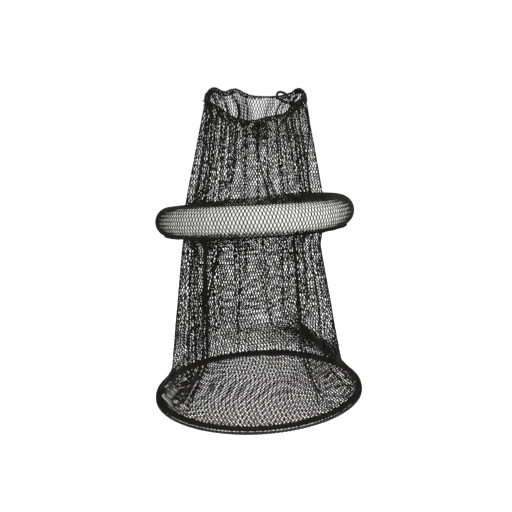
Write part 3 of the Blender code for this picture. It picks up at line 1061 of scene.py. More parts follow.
@dataclass
class Mouth:
    """The drawstring at the rim, with its knot, bow and tail, and the hem of netting on it."""

    netting: bpy.types.Material
    cord: bpy.types.Material
    rim_diameter: float = 0.0031
    bow_diameter: float = 0.0047
    cord_diameter: float = 0.0038
    knot_diameter: float = 0.0029
    knot_points: int = 90
    rim_steps: int = 12
    free_steps: int = 8
    rim_route: Route = (
        (0.090, 0.000, 0.016), (0.080, 0.040, 0.024), (0.063, 0.060, 0.013),
        (0.035, 0.075, 0.006), (-0.008, 0.082, 0.007), (-0.039, 0.074, 0.020),
        (-0.060, 0.062, 0.016), (-0.078, 0.044, 0.025), (-0.088, 0.022, 0.020),
        (-0.092, 0.000, 0.012), (-0.086, -0.029, 0.007), (-0.067, -0.056, 0.000),
        (-0.056, -0.065, -0.007), (-0.041, -0.073, -0.016), (-0.022, -0.080, -0.021),
        (0.002, -0.082, -0.020), (0.028, -0.078, -0.014), (0.047, -0.070, -0.012),
        (0.058, -0.063, -0.005), (0.065, -0.057, 0.002), (0.072, -0.050, 0.008),
        (0.083, -0.030, 0.012),
    )
    bow_route: Route = (
        (0.0571, -0.0595, 0.0080), (0.0525, -0.0592, 0.0090), (0.0475, -0.0585, 0.0112),
        (0.0425, -0.0580, 0.0135), (0.0382, -0.0580, 0.0172), (0.0370, -0.0580, 0.0220),
        (0.0395, -0.0580, 0.0262), (0.0450, -0.0580, 0.0270), (0.0510, -0.0580, 0.0245),
        (0.0560, -0.0578, 0.0205), (0.0593, -0.0582, 0.0162), (0.0608, -0.0588, 0.0127),
    )
    tail_route: Route = (
        (0.0677, -0.0605, 0.0072), (0.0738, -0.0575, 0.0060), (0.0810, -0.0500, 0.0025),
        (0.0870, -0.0410, -0.0020), (0.0918, -0.0335, -0.0085), (0.0945, -0.0290, -0.0175),
        (0.0960, -0.0285, -0.0285), (0.0965, -0.0310, -0.0410), (0.0963, -0.0360, -0.0535),
        (0.0950, -0.0430, -0.0655), (0.0935, -0.0500, -0.0775), (0.0925, -0.0555, -0.0895),
        (0.0927, -0.0595, -0.1015), (0.0937, -0.0625, -0.1130), (0.0945, -0.0660, -0.1240),
        (0.0950, -0.0697, -0.1350), (0.0960, -0.0733, -0.1460),
    )
    band_height: float = 0.0105
    band_hug: float = 0.0024
    band_over: tuple[float, float] = (0.34, 0.66)
    band_side: float = 0.36
    band_pleats: tuple[int, ...] = (19, 29, 43)
    band_crumple: float = 0.0055
    band_wander: float = 0.016
    band_length: float = 0.75
    band_ragged: float = 0.35
    bare_azimuth: float = 74.0
    bare_width: float = 20.0
    bare_loss: float = 0.8
    tail_keep: float = 0.25

    def __post_init__(self) -> None:
        """Works out the rim's line once, in the order of its azimuths."""
        line = smooth(self.rim_route, self.rim_steps, True)
        angles = np.arctan2(line[:, 1], line[:, 0])
        order = np.argsort(angles)
        self.line = line[order]
        self.angles = angles[order]

    def on_rim(self, azimuth: Array) -> Array:
        """The drawstring's centre at azimuths in radians."""
        axes = [np.interp(azimuth, self.angles, axis, period=TURN) for axis in self.line.T]
        return np.stack(axes, axis=-1)

    def build(self) -> None:
        """Makes every piece of the mouth."""
        laid_cord(
            "rim_cord", "drawstring_rim", Body.MOUTH, self.line, self.rim_diameter, self.cord, closed=True,
        )
        self.knot()
        self.bow()
        self.tail()
        self.band()

    def tangle(self, node: str, name: str, inset: float) -> bpy.types.Object:
        """A tight knot of the cord, with its turns filling a node's box.

        Args:
            node: The knot's node.
            name: The piece's name.
            inset: How far its turns stay inside the box, as a share of the cord's thickness.

        Returns:
            The knot.
        """
        low, high = (np.array(corner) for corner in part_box(node))
        reach = (high - low) / 2 - self.knot_diameter * inset
        t = TURN * np.arange(self.knot_points) / self.knot_points
        ring = (2 + np.cos(3 * t)) / 3
        turns = np.stack((ring * np.cos(2 * t), np.sin(3 * t), ring * np.sin(2 * t)), axis=-1)
        path = (low + high) / 2 + turns * reach
        return laid_cord(name, node, Body.MOUTH, path, self.knot_diameter, self.cord, closed=True)

    def knot(self) -> None:
        """The tight knot that holds the bow and the tail."""
        self.tangle("drawstring_knot", "tied_knot", inset=0.3)

    def bow(self) -> None:
        """The bow's loop, out of the knot and back into it."""
        path = smooth(self.bow_route, self.free_steps, False)
        piece = laid_cord("bow_loop", "drawstring_bow", Body.MOUTH, path, self.bow_diameter, self.cord)
        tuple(self.bow_route[0])

    def tail(self) -> None:
        """The tail that hangs down the outside of the netting, with its end knot."""
        path = smooth(self.tail_route, self.free_steps, False)
        piece = laid_cord("hanging_tail", "drawstring_tail", Body.MOUTH, path, self.cord_diameter, self.cord)
        knot = self.tangle("tail_knot", "tail_end_knot", inset=0.4)
        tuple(self.tail_route[0])
        for part in (piece, knot):
            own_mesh(part)

    def band(self) -> None:
        """The top rows of netting, folded over the drawstring and bunched along it."""

        def place(u: Array, v: float) -> Array:
            """The hem's points: v runs up the inner side, over the cord and down the outer side."""
            azimuth = TURN * u
            azimuth = azimuth + self.band_wander * waves(azimuth, self.band_pleats, 0.7)
            centre = self.on_rim(azimuth)
            away = degrees_from(azimuth, self.bare_azimuth) / self.bare_width
            full = 1 - self.bare_loss * hump(away)
            turn = math.pi * eased(v, *self.band_over)
            side = self.band_side
            share = (max(0.0, side - v) + max(0.0, v - (1 - side))) / side
            ragged = self.band_length + self.band_ragged * waves(azimuth, self.band_pleats, 1.9)
            drop = self.band_height * share * full * ragged
            loose = self.band_crumple * share * full * waves(azimuth, self.band_pleats, 0.3 + v)
            beside = self.band_hug * math.cos(turn) + loose
            lift = self.band_hug * math.sin(turn) - drop
            return raised(centre + outward_of(centre) * beside[:, None], lift)

        knitting = Knitting(columns=144, rows=5, twine=0.0011, slack=0.0016, slack_size=0.006)
        wall = surface("mouth_hem", columns=528, rows=24, place=place)
        knitting.sheet(wall, self.netting, Body.MOUTH, "mouth_band", "gathered", ["rim_cord"])


# Upper netting


@dataclass
class UpperNet:
    """The netting from the mouth to the float, its side seam and the gather at the seam's top."""

    netting: bpy.types.Material
    cord: bpy.types.Material
    mouth: Mouth
    float_ring: Ring
    foam_radius: float
    seam_azimuth: float = -85.5
    seam_cord: Seam = Seam(starts_at=0.2, ends_at=0.86, points=80, wander=0.006, wander_rate=9.0)
    crosses: Slide = Slide(Body.MOUTH, Body.FLOAT, start=-0.035, end=-0.170)
    top_drop: float = 0.0020
    meets_at: float = 150.0
    ends_at: float = 176.0
    on_float_from: float = 0.91
    bunched_from: float = 0.87
    bunched_hang: float = 0.96
    on_float: float = 0.0026
    squash: float = 0.22
    falls_flat: tuple[float, float] = (0.0, 0.16)
    rounds_again: tuple[float, float] = (0.88, 1.0)
    folds_fade: float = 3.0
    mouth_pleats: tuple[int, ...] = (29, 38, 53)
    mouth_pleat_depth: float = 0.0020
    mouth_pleats_end: float = 0.35
    float_pleats: tuple[int, ...] = (34, 47, 61)
    float_pleat_depth: float = 0.0020
    float_pleat_lean: float = 0.4
    float_pleats_begin: tuple[float, float] = (0.90, 0.98)
    uneven: float = 0.0035
    uneven_waves: tuple[int, ...] = (5, 8, 13)
    slip: float = 0.0008
    wad_fills: tuple[float, float, float] = (0.92, 0.85, 0.95)
    wad_end: float = 0.06
    wad_pleats: int = 9
    wad_pleat: float = 0.16
    wad_twist: float = 4.0
    wad_tufts: int = 5
    wad_ragged: float = 0.0012
    folds: tuple[Fold, ...] = (
        Fold((-172.0, -160.0, -162.0), 2.3, 7.0),
        Fold((-148.0, -147.0, -145.0), 1.2, 4.0, bottom=0.60),
        Fold((-134.0, -131.0, -128.0), 1.3, 4.0, top=0.05, bottom=0.80),
        Fold((-123.0, -121.0, -120.0), 1.1, 3.4, top=-0.10, bottom=0.75),
        Fold((-104.0, -106.0, -108.0), 1.3, 2.4, bottom=0.35),
        Fold((-88.0, -86.0, -84.0), 1.8, 5.0, bottom=0.40),
        Fold((-89.0, -76.0, -58.0), 1.8, 1.8, top=0.20, bottom=1.15),
        Fold((-79.0, -64.0, -46.0), 1.6, 1.8, top=0.42, bottom=1.15),
        Fold((-55.0, -54.0, -52.0), 1.2, 3.0, top=0.10, bottom=0.75),
        Fold((-36.0, -34.0, -33.0), 1.2, 5.0, top=0.05, bottom=0.80),
        Fold((-27.0, -26.0, -26.0), 1.6, 9.0, bottom=0.40),
        Fold((-21.0, -21.0, -23.0), 1.7, 4.5),
        Fold((24.0, 25.0, 24.0), 1.4, 8.0),
        Fold((54.0, 48.0, 48.0), 2.0, 4.5),
        Fold((70.0, 68.0, 72.0), 0.9, 5.0),
        Fold((104.0, 106.0, 104.0), 0.9, 5.0),
        Fold((136.0, 128.0, 118.0), 0.8, 16.0, bottom=0.30),
        Fold((124.0, 124.0, 127.0), 2.0, 3.0),
        Fold((142.0, 142.0, 140.0), 1.2, 4.0),
        Fold((160.0, 158.0, 160.0), 1.6, 9.0),
    )

    def build(self) -> None:
        """Makes the netting, the seam and the gather."""
        self.drape = Drape(math.radians(self.seam_azimuth), self.folds)
        self.wall_of_netting()
        self.seam()
        self.gather()

    def tube(self, azimuth: Array, section: float, hang: float) -> Array:
        """The plain round tube between the drawstring and the float.

        Args:
            azimuth: Where the points lie, in radians.
            section: The angle round the foam's section at which the tube meets the float.
            hang: The share of the height, from the drawstring down.

        Returns:
            The points.
        """
        top = self.mouth.on_rim(azimuth) - np.array((0.0, 0.0, self.top_drop))
        end = self.float_ring.beside(azimuth, section, self.foam_radius + self.on_float)
        return top + (end - top) * hang

    def wall(self, azimuth: Array, down: float) -> Array:
        """The netting's middle, fallen flat and drawn in by its folds.

        Args:
            azimuth: Where the points lie, in radians.
            down: The share of the rows, from the drawstring down.

        Returns:
            The points.
        """
        rows = (0.0, self.bunched_from, self.on_float_from)
        hang = float(np.interp(down, rows, (0.0, self.bunched_hang, 1.0)))
        section = float(np.interp(down, (self.on_float_from, 1.0), (self.meets_at, self.ends_at)))
        point = self.tube(azimuth, section, hang)
        flat = flattened(azimuth, self.tube(QUARTERS, section, hang), self.squash)
        limp = eased(hang, *self.falls_flat) * (1 - eased(hang, *self.rounds_again))
        point[:, :2] += (flat - point[:, :2]) * limp
        swell = math.sin(math.pi * hang)
        at_mouth = 1 - eased(hang, 0.0, self.mouth_pleats_end)
        at_float = eased(hang, *self.float_pleats_begin)
        depth = self.drape.depth(azimuth, hang) * min(1.0, self.folds_fade * swell)
        depth += self.mouth_pleat_depth * waves(azimuth, self.mouth_pleats, 0.9) * at_mouth
        leaning = self.float_pleat_lean + waves(azimuth, self.float_pleats, 0.5)
        depth += self.float_pleat_depth * leaning * at_float
        point[:, 2] += self.uneven * waves(azimuth, self.uneven_waves, 0.7 + 0.3 * hang) * swell
        return drawn_in(point, depth)

    def wall_of_netting(self) -> None:
        """The knitted wall, which runs from the mouth to the float."""

        def place(u: Array, v: float) -> Array:
            """The wall's points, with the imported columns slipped."""
            azimuth = self.drape.columns(u, v)
            return slipped(self.wall(azimuth, v), u, azimuth, self.slip * math.sin(math.pi * v))

        knitting = Knitting(columns=144, rows=40, twine=0.0015, row_height=0.0052)
        wall = surface("upper_netting", columns=640, rows=120, place=place)
        rests_on = ["rim_cord", "float_sleeve_netting"]
        knitting.sheet(wall, self.netting, self.crosses, "upper_net", "gathered", rests_on)

    def seam(self) -> None:
        """The sewn seam that runs down from the gather."""
        at = self.drape.seam
        slide = self.crosses
        self.seam_cord.sew("upper_side_seam", "upper_seam", slide, self.wall, lambda down: at, self.cord)

    def gather(self) -> None:
        """The wad of netting bunched and sewn at the top of the seam."""
        low, high = (np.array(corner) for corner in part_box("seam_gather"))
        centre, half = (low + high) / 2, (high - low) / 2 * self.wad_fills
        outward = np.array((math.cos(self.drape.seam), math.sin(self.drape.seam), 0.0))
        side = np.array((-outward[1], outward[0], 0.0))

        def place(u: Array, v: float) -> Array:
            """The wad's points: v runs down it, and it narrows at both ends."""
            around = TURN * u
            fade = math.sin(math.pi * (self.wad_end + (1 - 2 * self.wad_end) * v)) ** 0.5
            pleats = self.wad_pleat * np.sin(self.wad_pleats * around + self.wad_twist * v)
            pleat = fade * (1 + pleats * fade)
            across = np.cos(around) * half[0] * pleat
            out = np.sin(around) * half[1] * pleat
            up = half[2] * (1 - 2 * v) + self.wad_ragged * np.sin(self.wad_tufts * around)
            return raised(centre + across[:, None] * side + out[:, None] * outward, up)

        knitting = Knitting(columns=15, rows=6, twine=0.0011, slack=0.0018, slack_size=0.006)
        wall = surface("gathered_wad", columns=96, rows=28, place=place)
        knitting.sheet(wall, self.netting, Body.MOUTH, "seam_gather", "gathered", ["upper_netting"])


# Float ring


@dataclass
class FloatRing:
    """The foam tube bent to a ring, its netting sleeve and the lacing on its inner side."""

    netting: bpy.types.Material
    cord: bpy.types.Material
    foam: bpy.types.Material
    plug: bpy.types.Material
    foam_diameter: float = 0.0548
    bore: float = 0.018
    foam_rings: int = 240
    foam_sides: int = 40
    foam_dents: float = 0.00035
    foam_dent_waves: tuple[int, ...] = (7, 13, 19)
    foam_sharp_edge: float = 50.0
    lacing_offset: float = 0.0015
    joint_gap: float = 0.0004
    joint_rounding: float = 0.0012
    joint_sharpness: float = 400.0
    twist: float = 0.18
    sleeve_reach: float = 200.0
    sleeve_gap: float = 0.0005
    sleeve_lap: float = 0.0012
    sleeve_laps_from: tuple[float, float] = (0.86, 0.92)
    sleeve_crumple: float = 0.0010
    sleeve_wander: float = 0.010
    sleeve_wander_waves: tuple[int, ...] = (41, 59, 73)
    sleeve_crumples_from: tuple[float, float] = (110.0, 150.0)
    ruffle_azimuth: float = 42.0
    ruffle_width: float = 30.0
    ruffle_height: float = 0.0055
    ruffle_least: float = 0.05
    ruffle_from: tuple[float, float] = (0.93, 1.0)
    ruffle_even: float = 0.55
    sleeve_pleats: tuple[int, ...] = (52, 67, 83)
    lacing_turns: int = 88
    lacing_points: int = 12
    lacing_swing: float = 11.0
    lacing_stand: float = 0.0046
    lacing_lift: float = 0.0010
    lacing_diameter: float = 0.0018

    def __post_init__(self) -> None:
        """Reads where the ring lies from its lacing in the frame."""
        laced = Ring.of("float_lacing")
        self.foam_radius = self.foam_diameter / 2
        radius = laced.radius + self.foam_radius + self.lacing_offset
        self.ring = replace(laced, radius=radius, twist=self.twist)

    def build(self) -> None:
        """Makes the foam, the sleeve and the lacing, and finishes the plug inside."""
        self.foam_tube()
        self.sleeve()
        self.lacing()
        fit_material("float_joint_plug", self.plug)

    def foam_tube(self) -> None:
        """The bored foam tube, whose two ends meet at the back."""
        rings, sides = self.foam_rings, self.foam_sides
        gap = self.joint_gap / self.ring.radius
        share = np.linspace(0.0, 1.0, rings + 1)[:, None]
        section = 360.0 * np.arange(sides)[None, :] / sides
        azimuth = TURN / 4 + gap / 2 + (TURN - gap) * share
        rounding = self.joint_rounding * np.exp(-np.minimum(share, 1 - share) * self.joint_sharpness)
        dents = self.foam_dents * np.abs(waves(azimuth + np.radians(section), self.foam_dent_waves, 0.8))
        skin = self.ring.beside(azimuth, section, self.foam_radius - rounding - dents)
        bore = self.ring.beside(azimuth, section, self.bore / 2)
        points = np.concatenate((skin.reshape(-1, 3), bore.reshape(-1, 3)))
        layer = (rings + 1) * sides
        faces = []
        for j in range(sides):
            k = (j + 1) % sides
            for i in range(rings):
                a, b = i * sides, (i + 1) * sides
                faces.append((a + j, b + j, b + k, a + k))
                faces.append((layer + a + k, layer + b + k, layer + b + j, layer + a + j))
            end = rings * sides
            faces.append((j, k, layer + k, layer + j))
            faces.append((layer + end + j, layer + end + k, end + k, end + j))
        mesh = bpy.data.meshes.new("foam_tube")
        mesh.from_pydata(points.tolist(), [], faces)
        mesh.shade_smooth()
        mesh.set_sharp_from_angle(angle=math.radians(self.foam_sharp_edge))
        piece = linked("foam_tube", mesh)
        finished(piece, self.foam, Slot.FOAM, Body.FLOAT, "foam_float")

    def sleeve(self) -> None:
        """Netting pulled tight round the foam and lapped over itself on the inner side."""

        def place(u: Array, v: float) -> Array:
            """The sleeve's points: v runs round the foam from one edge of the netting to the other."""
            azimuth = TURN * u
            section = self.sleeve_reach * (1 - 2 * v)
            inner = eased(abs(section), *self.sleeve_crumples_from)
            lapped = self.sleeve_lap * eased(v, *self.sleeve_laps_from)
            wander = self.sleeve_wander * waves(azimuth, self.sleeve_wander_waves, 0.4 + 3 * v)
            azimuth = azimuth + wander * inner
            crumple = self.sleeve_crumple * (1 + waves(azimuth, self.sleeve_pleats, 1.3 + v)) * inner
            away = degrees_from(azimuth, self.ruffle_azimuth) / self.ruffle_width
            loose = self.ruffle_least + (1 - self.ruffle_least) * hump(away)
            ruffle = self.ruffle_height * eased(v, *self.ruffle_from) * loose
            even = self.ruffle_even
            ruffle = ruffle * (even + (1 - even) * waves(azimuth, self.sleeve_pleats, 0.8))
            stand = self.foam_radius + self.sleeve_gap + lapped + crumple + ruffle
            return self.ring.beside(azimuth, section, stand)

        knitting = Knitting(columns=176, rows=27, twine=0.0014, slack=0.0, row_height=0.0074)
        wall = surface("float_sleeve_netting", columns=704, rows=116, place=place)
        knitting.sheet(wall, self.netting, Body.FLOAT, "float_sleeve", "stretched", ["foam_tube"])

    def lacing(self) -> None:
        """The cord that zigzags over the sleeve's opening and holds the nets to it."""
        points = self.lacing_turns * self.lacing_points
        azimuth = TURN * np.arange(points) / points
        section = 180.0 + self.lacing_swing * np.sin(self.lacing_turns * azimuth)
        lift = self.lacing_lift * np.abs(np.cos(self.lacing_turns * azimuth))
        path = self.ring.beside(azimuth, section, self.foam_radius + self.lacing_stand + lift)
        laid_cord(
            "sleeve_lacing", "float_lacing", Body.FLOAT, path, self.lacing_diameter, self.cord,
            closed=True, Sides=8, Lay_Length=0.006, Steps=3,
        )


def fit_material(node: str, material: bpy.types.Material) -> None:
    """Gives a node of the frame that no piece replaces its finish.

    Args:
        node: The node.
        material: Its finish.
    """
    data = bpy.data.objects[node].data
    data.materials.clear()
    data.materials.append(material)


# Lower netting


@dataclass
class LowerNet:
    """The netting from the float down to the hoop, and its side seam."""

    netting: bpy.types.Material
    cord: bpy.types.Material
    float_ring: Ring
    foam_radius: float
    hem_ring: Ring
    hem_radius: float
    seam_cord: Seam = Seam(starts_at=0.17, ends_at=0.96, points=140, wander=0.005, wander_rate=14.0)
    crosses: Slide = Slide(Body.FLOAT, Body.HOOP, start=-0.255, end=-0.530)
    seam_azimuth: float = -55.5
    seam_when_flat: float = -39.0
    starts_at: float = -66.0
    starts_higher: float = 26.0
    leaves_at: float = -152.0
    on_float_until: float = 0.13
    bunched_until: float = 0.20
    bunched_hang: float = 0.032
    on_float: float = 0.0026
    squash: float = 0.20
    sway: float = -0.0095
    sways_from: float = 0.15
    straight: float = 0.16
    slope: float = 0.75
    flare: float = 0.37
    flares_from: float = 0.86
    flare_power: float = 1.4
    falls_flat: tuple[float, float] = (0.01, 0.12)
    rounds_from: float = 0.52
    creased_until: float = 0.78
    slip: float = 0.0011
    all_rows: int = 62
    gathered_rows: int = 10
    folds_fade: float = 5.0
    float_pleats: tuple[int, ...] = (31, 44, 58)
    float_pleat_depth: float = 0.0030
    float_pleat_lean: float = 0.3
    float_pleats_end: tuple[float, float] = (0.02, 0.18)
    corner_pleats: tuple[int, ...] = (19, 31, 43)
    corner_pleat_depth: float = 0.0032
    corner_begins: tuple[float, float] = (0.80, 0.91)
    corner_ends: tuple[float, float] = (0.95, 1.0)
    uneven: float = 0.0040
    uneven_waves: tuple[int, ...] = (4, 7, 11)
    folds: tuple[Fold, ...] = (
        Fold((-157.0, -152.0, -144.0), 1.3, 8.0, bottom=1.05, depth=0.006),
        Fold((-157.0, -151.0, -145.0), 2.0, 2.6, bottom=0.55),
        Fold((-146.0, -142.0, -136.0), 1.8, 2.4, top=0.40, bottom=1.0),
        Fold((-121.0, -133.0, -145.0), 1.5, 2.2, top=-0.15, bottom=0.45),
        Fold((-168.0, -167.0, -160.0), 1.5, 3.0, bottom=0.95),
        Fold((-160.0, -155.0, -148.0), 1.3, 2.0, top=0.45, bottom=1.0),
        Fold((-112.0, -111.0, -106.0), 0.7, 2.4, bottom=0.75),
        Fold((-103.0, -100.0, -94.0), 1.6, 1.5, bottom=0.28),
        Fold((-59.0, -58.0, -56.0), 0.9, 1.6, bottom=0.20),
        Fold((-22.0, -22.0, -26.0), 0.8, 8.0, bottom=0.50),
        Fold((-33.0, -38.0, -52.0), 1.7, 2.0, top=0.05, bottom=1.05),
        Fold((-13.0, -14.0, -20.0), 1.2, 2.6, top=0.05, bottom=0.85),
        Fold((28.0, 31.0, 40.0), 0.8, 8.0, bottom=0.80),
        Fold((46.0, 48.0, 58.0), 0.8, 5.0, bottom=0.80),
        Fold((76.0, 73.0, 77.0), 0.6, 4.0, bottom=1.0),
        Fold((110.0, 108.0, 112.0), 0.6, 4.0, bottom=1.0),
        Fold((139.0, 137.0, 130.0), 0.9, 4.0, bottom=0.85),
        Fold((156.0, 152.0, 144.0), 1.2, 8.0, bottom=0.85),
    )

    def build(self) -> None:
        """Makes the netting and its seam."""
        self.rows("float_gathers", 0, self.gathered_rows, "float_sleeve_netting")
        self.rows("lower_netting", self.gathered_rows, self.all_rows, "float_gathers")
        self.seam()

    def rows(self, name: str, first: int, last: int, rests_on: str) -> None:
        """Makes the netting's rows from one to another.

        Args:
            name: The new object's name.
            first: The row at the top, counted from the netting's start on the float.
            last: The row at the bottom.
            rests_on: The piece that these rows hang on.
        """

        def place(u: Array, v: float) -> Array:
            """The rows' points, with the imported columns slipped."""
            down = (first + (last - first) * v) / self.all_rows
            azimuth = Drape(self.seam_at(down), self.folds).columns(u, self.hang(down))
            slip = self.slip * math.sin(math.pi * self.hang(down))
            return slipped(self.wall(azimuth, down), u, azimuth, slip)

        count = last - first
        knitting = Knitting(columns=156, rows=count, twine=0.0019, sides=3, row_height=0.0063)
        wall = surface(name, columns=640, rows=3 * count, place=place)
        knitting.sheet(wall, self.netting, self.crosses, "lower_net", "hung", [rests_on])

    def hang(self, down: float) -> float:
        """The share of the height at a share of the rows, which are bunched under the float."""
        rows = (0.0, self.on_float_until, self.bunched_until, 1.0)
        return float(np.interp(down, rows, (0.0, 0.0, self.bunched_hang, 1.0)))

    def limp(self, azimuth: Array, hang: float) -> Array:
        """How far the tube has fallen flat; its creases stay flat longest."""
        rounds_from = self.rounds_from + (self.creased_until - self.rounds_from) * np.cos(azimuth) ** 2
        return eased(hang, *self.falls_flat) * (1 - eased(hang, rounds_from, 1.0))

    def seam_at(self, down: float) -> float:
        """The seam's azimuth, which turns where the tube is flat.

        Args:
            down: The share of the rows.

        Returns:
            The azimuth in radians.
        """
        turn = self.seam_when_flat - self.seam_azimuth
        limp = float(self.limp(math.radians(self.seam_when_flat), self.hang(down)))
        return math.radians(self.seam_azimuth + turn * limp)

    def tube(self, azimuth: Array, down: float) -> Array:
        """The plain round tube, straight at the front and back and drawn in at the sides.

        Args:
            azimuth: Where the points lie, in radians.
            down: The share of the rows.

        Returns:
            The points.
        """
        hang = self.hang(down)
        start = self.starts_at - self.starts_higher * np.sin(azimuth)
        section = start + (self.leaves_at - start) * min(1.0, down / self.on_float_until)
        top = self.float_ring.beside(azimuth, section, self.foam_radius + self.on_float)
        end = self.hem_ring.point(azimuth, self.hem_ring.radius, self.hem_radius)
        ramp = max(0.0, hang - self.flares_from) / (1 - self.flares_from)
        drawn = self.slope * max(0.0, hang - self.straight) + self.flare * ramp**self.flare_power
        side = np.cos(azimuth)[:, None] ** 2
        point = top + (end - top) * (hang + (drawn - hang) * side)
        point[:, 2] = top[:, 2] + (end[:, 2] - top[:, 2]) * hang
        point[:, 0] += self.sway * (1 - hang) * min(1.0, hang / self.sways_from)
        return point

    def wall(self, azimuth: Array, down: float) -> Array:
        """The netting's middle, fallen flat and drawn in by its folds.

        Args:
            azimuth: Where the points lie, in radians.
            down: The share of the rows.

        Returns:
            The points.
        """
        hang = self.hang(down)
        point = self.tube(azimuth, down)
        swell = math.sin(math.pi * hang)
        flat = flattened(azimuth, self.tube(QUARTERS, down), self.squash * swell)
        point[:, :2] += (flat - point[:, :2]) * self.limp(azimuth, hang)[:, None]
        depth = Drape(0.0, self.folds).depth(azimuth, hang) * min(1.0, self.folds_fade * swell)
        leaning = self.float_pleat_lean + waves(azimuth, self.float_pleats, 0.5)
        depth += self.float_pleat_depth * leaning * (1 - eased(hang, *self.float_pleats_end))
        corner = eased(hang, *self.corner_begins) * (1 - eased(hang, *self.corner_ends))
        slack = corner * np.cos(azimuth) ** 2
        depth += self.corner_pleat_depth * waves(azimuth, self.corner_pleats, 1.1) * slack
        point[:, 2] += self.uneven * waves(azimuth, self.uneven_waves, 0.7 + 0.3 * hang) * swell
        return drawn_in(point, depth)

    def seam(self) -> None:
        """The sewn seam down the lower netting."""
        slide = self.crosses
        self.seam_cord.sew("lower_side_seam", "lower_seam", slide, self.wall, self.seam_at, self.cord)


# Bottom hoop


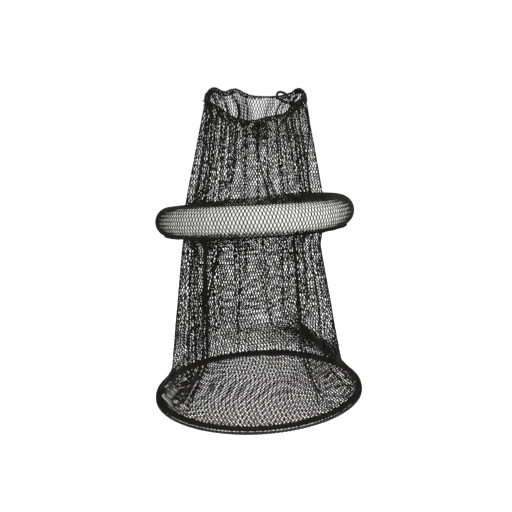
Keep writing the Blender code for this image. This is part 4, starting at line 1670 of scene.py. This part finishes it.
@dataclass
class Hoop:
    """The coated wire hoop, the netting hem on it, its whipping and the net across it."""

    netting: bpy.types.Material
    cord: bpy.types.Material
    steel: bpy.types.Material
    wire_diameter: float = 0.0052
    wire_swell: float = 0.0002
    wire_swell_waves: tuple[int, ...] = (5, 9, 14)
    hem_diameter: float = 0.010
    hem_recess: float = 0.0009
    hem_lumps: float = 0.0007
    hem_lump_waves: tuple[int, ...] = (88, 131, 176)
    hem_lump_turn: float = 0.05
    hem_ribs: float = 0.0004
    hem_ribs_across: int = 6
    hem_ribs_along: int = 90
    wrap_recess: float = 0.0003
    wrap_loose: float = 0.0006
    wrap_waves: tuple[int, ...] = (61, 83, 97)
    wrap_starts_at: float = 100.0
    whip_turns: int = 168
    whip_points: int = 14
    whip_diameter: float = 0.0014
    whip_reaches_hem: float = 0.7
    sag: float = 0.004
    edge_ripple: float = 0.0016
    edge_waves: tuple[int, ...] = (9, 14, 22)
    edge_begins: tuple[float, float] = (0.55, 0.95)
    edge_tuck: float = 0.001
    cell_width: float = 0.0062
    row_height: float = 0.0066

    def __post_init__(self) -> None:
        """Reads where the wire and the hem lie from the frame."""
        self.wire = Ring.of("bottom_hoop")
        self.hem = Ring.of("hoop_hem")
        self.hem_radius = self.hem_diameter / 2

    def build(self) -> None:
        """Makes the five pieces of the bottom."""
        self.wire_hoop()
        self.rolled_hem()
        self.hem_wrap()
        self.whipping()
        self.bottom_net()

    def wire_hoop(self) -> None:
        """The wire, welded to a ring and dipped in black."""

        def place(u: Array, v: float) -> Array:
            """The wire's skin: v runs round its section."""
            azimuth = TURN * u
            swell = self.wire_swell * waves(azimuth, self.wire_swell_waves, 0.9)
            return self.wire.beside(azimuth, 360 * v, self.wire_diameter / 2 + swell)

        piece = closed_tube("wire_hoop", rings=360, sides=16, place=place)
        finished(piece, self.steel, Slot.STEEL, Body.HOOP, "bottom_hoop")

    def rolled_hem(self) -> None:
        """The net's edge rolled on itself: lumpy netting packed into a cord."""

        def place(u: Array, v: float) -> Array:
            """The roll's skin: v runs round its section."""
            azimuth = TURN * u
            turned = azimuth + self.hem_lump_turn * math.sin(TURN * v)
            lumps = self.hem_lumps * waves(turned, self.hem_lump_waves, 0.6)
            ribs = self.hem_ribs * np.cos(TURN * (self.hem_ribs_across * v + self.hem_ribs_along * u))
            return self.hem.beside(azimuth, 360 * v, self.hem_radius - self.hem_recess + lumps + ribs)

        piece = closed_tube("rolled_hem", rings=1056, sides=18, place=place)
        finished(piece, self.netting, Slot.NETTING, Body.HOOP, "hoop_hem")

    def hem_wrap(self) -> None:
        """The last turn of the hem's netting, with its knitting in sight."""

        def place(u: Array, v: float) -> Array:
            """The netting's points: v runs once round the roll."""
            azimuth = TURN * u
            loose = self.wrap_loose * waves(azimuth, self.wrap_waves, 0.9 + v)
            stand = self.hem_radius - self.wrap_recess + loose
            return self.hem.beside(azimuth, 360 * v + self.wrap_starts_at, stand)

        knitting = Knitting(columns=176, rows=5, twine=0.0013, slack=0.0005, slack_size=0.008)
        wall = surface("hem_wrap", columns=528, rows=20, place=place)
        knitting.sheet(wall, self.netting, Body.HOOP, "hoop_hem", "folded", ["rolled_hem"])

    def whipping(self) -> None:
        """One thread that winds round the hem and the wire together."""
        towards = self.hem.centre - self.wire.centre
        rise = float(towards @ self.wire.up)
        inward = self.wire.radius - self.hem.radius
        apart = math.hypot(rise, inward)
        lean = math.atan2(rise, -inward)
        thread = self.whip_diameter / 2
        wire_side, hem_side = self.wire_diameter / 2 + thread, self.hem_radius + thread
        points = self.whip_turns * self.whip_points
        azimuth = TURN * np.arange(points) / points
        turn = azimuth * self.whip_turns
        share = eased((1 + np.cos(turn)) / 2, 0.0, self.whip_reaches_hem)
        across = (wire_side + (hem_side - wire_side) * share) * np.sin(turn)
        along = np.cos(turn) * (apart + wire_side + hem_side) / 2 + (hem_side - wire_side) / 2
        out = self.wire.radius - inward / 2 + along * math.cos(lean) - across * math.sin(lean)
        up = rise / 2 + along * math.sin(lean) + across * math.cos(lean)
        laid_cord(
            "hem_whipping", "hem_stitching", Body.HOOP, self.wire.point(azimuth, out, up),
            self.whip_diameter, self.cord, closed=True, Sides=6, Lay_Length=0.008, Steps=4, Lobe_Depth=0.1,
        )

    def bottom_net(self) -> None:
        """The flat net across the hoop, sagging a little in its middle."""
        reach = self.hem.radius - self.hem_radius + self.edge_tuck
        centre = self.hem.centre

        def place(u: Array, v: float) -> Array:
            """The square wall's points, from which the netting is cut round."""
            x, y = (2 * u - 1) * reach, (1 - 2 * v) * reach
            away = np.hypot(x, y) / reach
            ripple = self.edge_ripple * waves(np.arctan2(y, x), self.edge_waves, 0.7)
            drop = self.sag * np.maximum(0.0, 1 - away * away)
            drop = drop + ripple * eased(away, *self.edge_begins)
            flat = centre + self.hem.across * x[:, None] + self.hem.behind * y
            return flat - self.hem.up * drop[:, None]

        knitting = Knitting(
            columns=round(2 * reach / self.cell_width), rows=round(2 * reach / self.row_height),
            twine=0.0022, cell_width=self.cell_width, row_height=self.row_height, filled=math.pi / 4,
        )
        wall = surface("bottom_netting", columns=120, rows=120, place=place)
        knitting.sheet(
            wall, self.netting, Body.HOOP, "bottom_net", "stretched", ["rolled_hem"],
            Centre=centre.tolist(), Reach=reach,
        )


def main() -> None:
    """Builds the studio and then the net from the mouth down."""
    logging.basicConfig(level=logging.INFO, format="%(message)s")
    Studio().build()
    netting, cord = NETTING.material(), CORD.material()
    mouth = Mouth(netting, cord)
    mouth.build()
    float_ring = FloatRing(netting, cord, FOAM.material(), PLUG.material())
    float_ring.build()
    UpperNet(netting, cord, mouth, float_ring.ring, float_ring.foam_radius).build()
    hoop = Hoop(netting, cord, STEEL.material())
    hoop.build()
    lower = LowerNet(netting, cord, float_ring.ring, float_ring.foam_radius, hoop.hem, hoop.hem_radius)
    lower.build()


if __name__ == "__main__":
    main()
